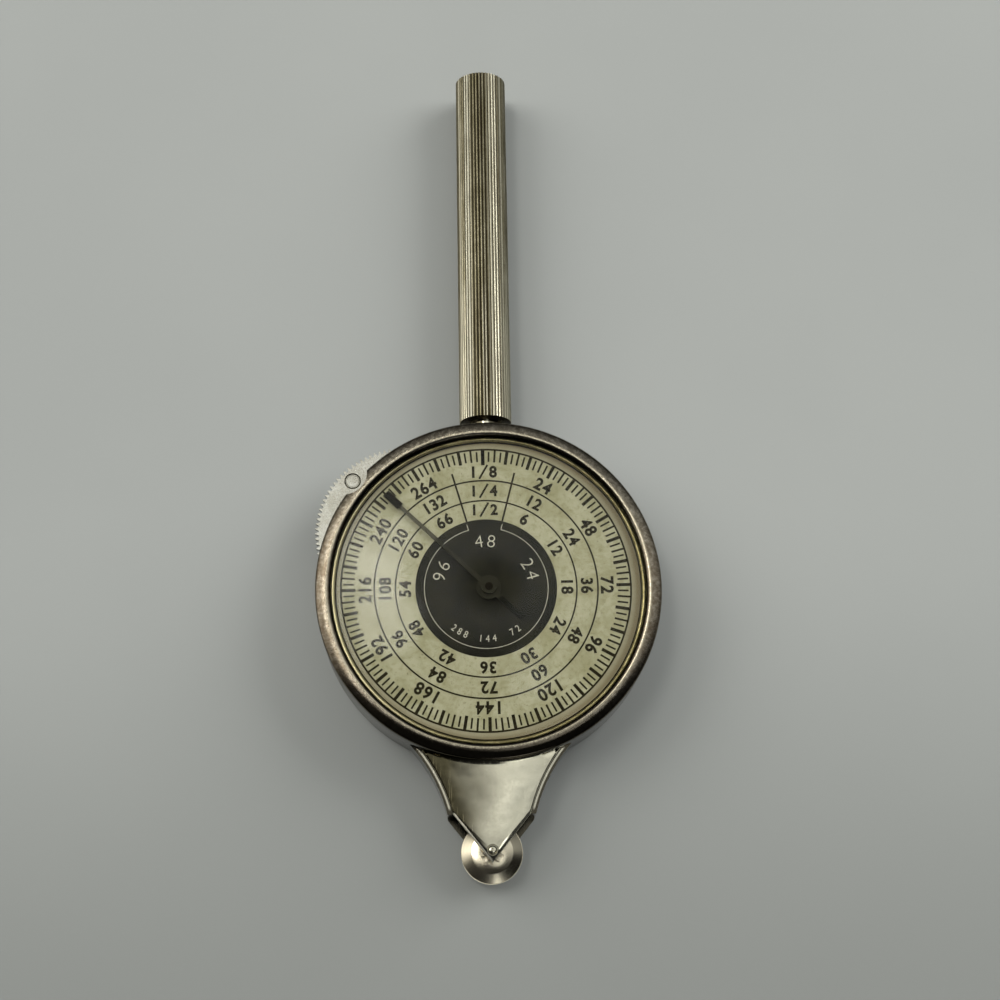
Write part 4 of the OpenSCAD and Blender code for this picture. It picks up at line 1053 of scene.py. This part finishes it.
def outer_edge(e):
    """Sharp edge of the cheek's face, apart from the arc beside the bezel and the hole of the axle."""
    flat = [v.co.to_2d() for v in e.verts]
    return (all(v.co.z > (CHEEK_Z1 - 0.001) * MM and v.co.y < -15.5 * MM for v in e.verts)
            and len(e.link_faces) == 2 and e.calc_face_angle(0) > 1
            and not all(abs(co.length - CHEEK_R * MM) < 0.02 * MM for co in flat)
            and not all((co - Vector((0, AXLE_Y * MM))).length < 1 * MM for co in flat))


cheek = merged_copy("cheek_plate", "nose_cheek")
edit(cheek)
pick(cheek, outer_edge, "EDGE")
bpy.ops.mesh.bevel(offset=0.14 * MM, segments=4, profile=0.5, affect="EDGES", clamp_overlap=False)
bpy.ops.object.mode_set(mode="OBJECT")
smooth(cheek, 50)
finished(cheek, "polished_nickel", stands_for=["nose_cheek"])

HEAD_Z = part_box("axle_pin")[1].z / MM
FOOT_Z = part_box("axle_pin")[0].z / MM
PIN_R, HEAD_R = 0.3, 0.52
# From the rear head up the pin to the front head, which has a groove round its dome
profile = [(0, FOOT_Z), (0.45, FOOT_Z), (HEAD_R, FOOT_Z + 0.07), (HEAD_R, FOOT_Z + 0.15),
           (PIN_R, FOOT_Z + 0.15), (PIN_R, CHEEK_Z1), (HEAD_R, CHEEK_Z1)]
dome = ((0.525, 0.05), (0.50, 0.01), (0.46, 0.01), (0.43, 0.08), (0.40, 0.1), (0.37, 0.05), (0.33, 0.02),
        (0.2, 0), (0, 0))
profile += [(r, HEAD_Z - drop) for r, drop in dome]
axle = turned("axle_rivet", profile, 0, AXLE_Y, steps=64, angle=40)
finished(axle, "polished_nickel", stands_for=["axle_pin"])

WHEEL_R, FLAT_R, HUB_R, RIM_T, KNURL, RIM_STEPS = 3.032, 2.05, 0.62, 0.3, 0.02, 180
mid = (WHEEL_Z0 + WHEEL_Z1) / 2
rim_z = mid + RIM_T / 2
half = [(HUB_R, WHEEL_Z1), (FLAT_R - 0.04, WHEEL_Z1), (FLAT_R + 0.03, WHEEL_Z1 - 0.03),
        (WHEEL_R - 0.1, rim_z + 0.02), (WHEEL_R - 0.06, rim_z), (WHEEL_R - KNURL, rim_z)]
wheel = turned("tracing_disc", half + [(r, 2 * mid - z) for r, z in half[::-1]], 0, AXLE_Y,
               steps=RIM_STEPS, angle=25)
# Every second row of the rim stands out, so that the wheel grips the map
edit(wheel)
pick(wheel, lambda v: math.hypot(v.co.x, v.co.y - AXLE_Y * MM) > (WHEEL_R - 0.03) * MM
     and round(math.atan2(v.co.y - AXLE_Y * MM, v.co.x) / TURN * RIM_STEPS) % 2 == 0)
grow = 1 + KNURL / WHEEL_R
bpy.ops.transform.resize(value=(grow, grow, 1), center_override=(0, AXLE_Y * MM, mid * MM))
bpy.ops.object.mode_set(mode="OBJECT")
finished(wheel, "turned_nickel", "tracer", ["tracing_wheel"])
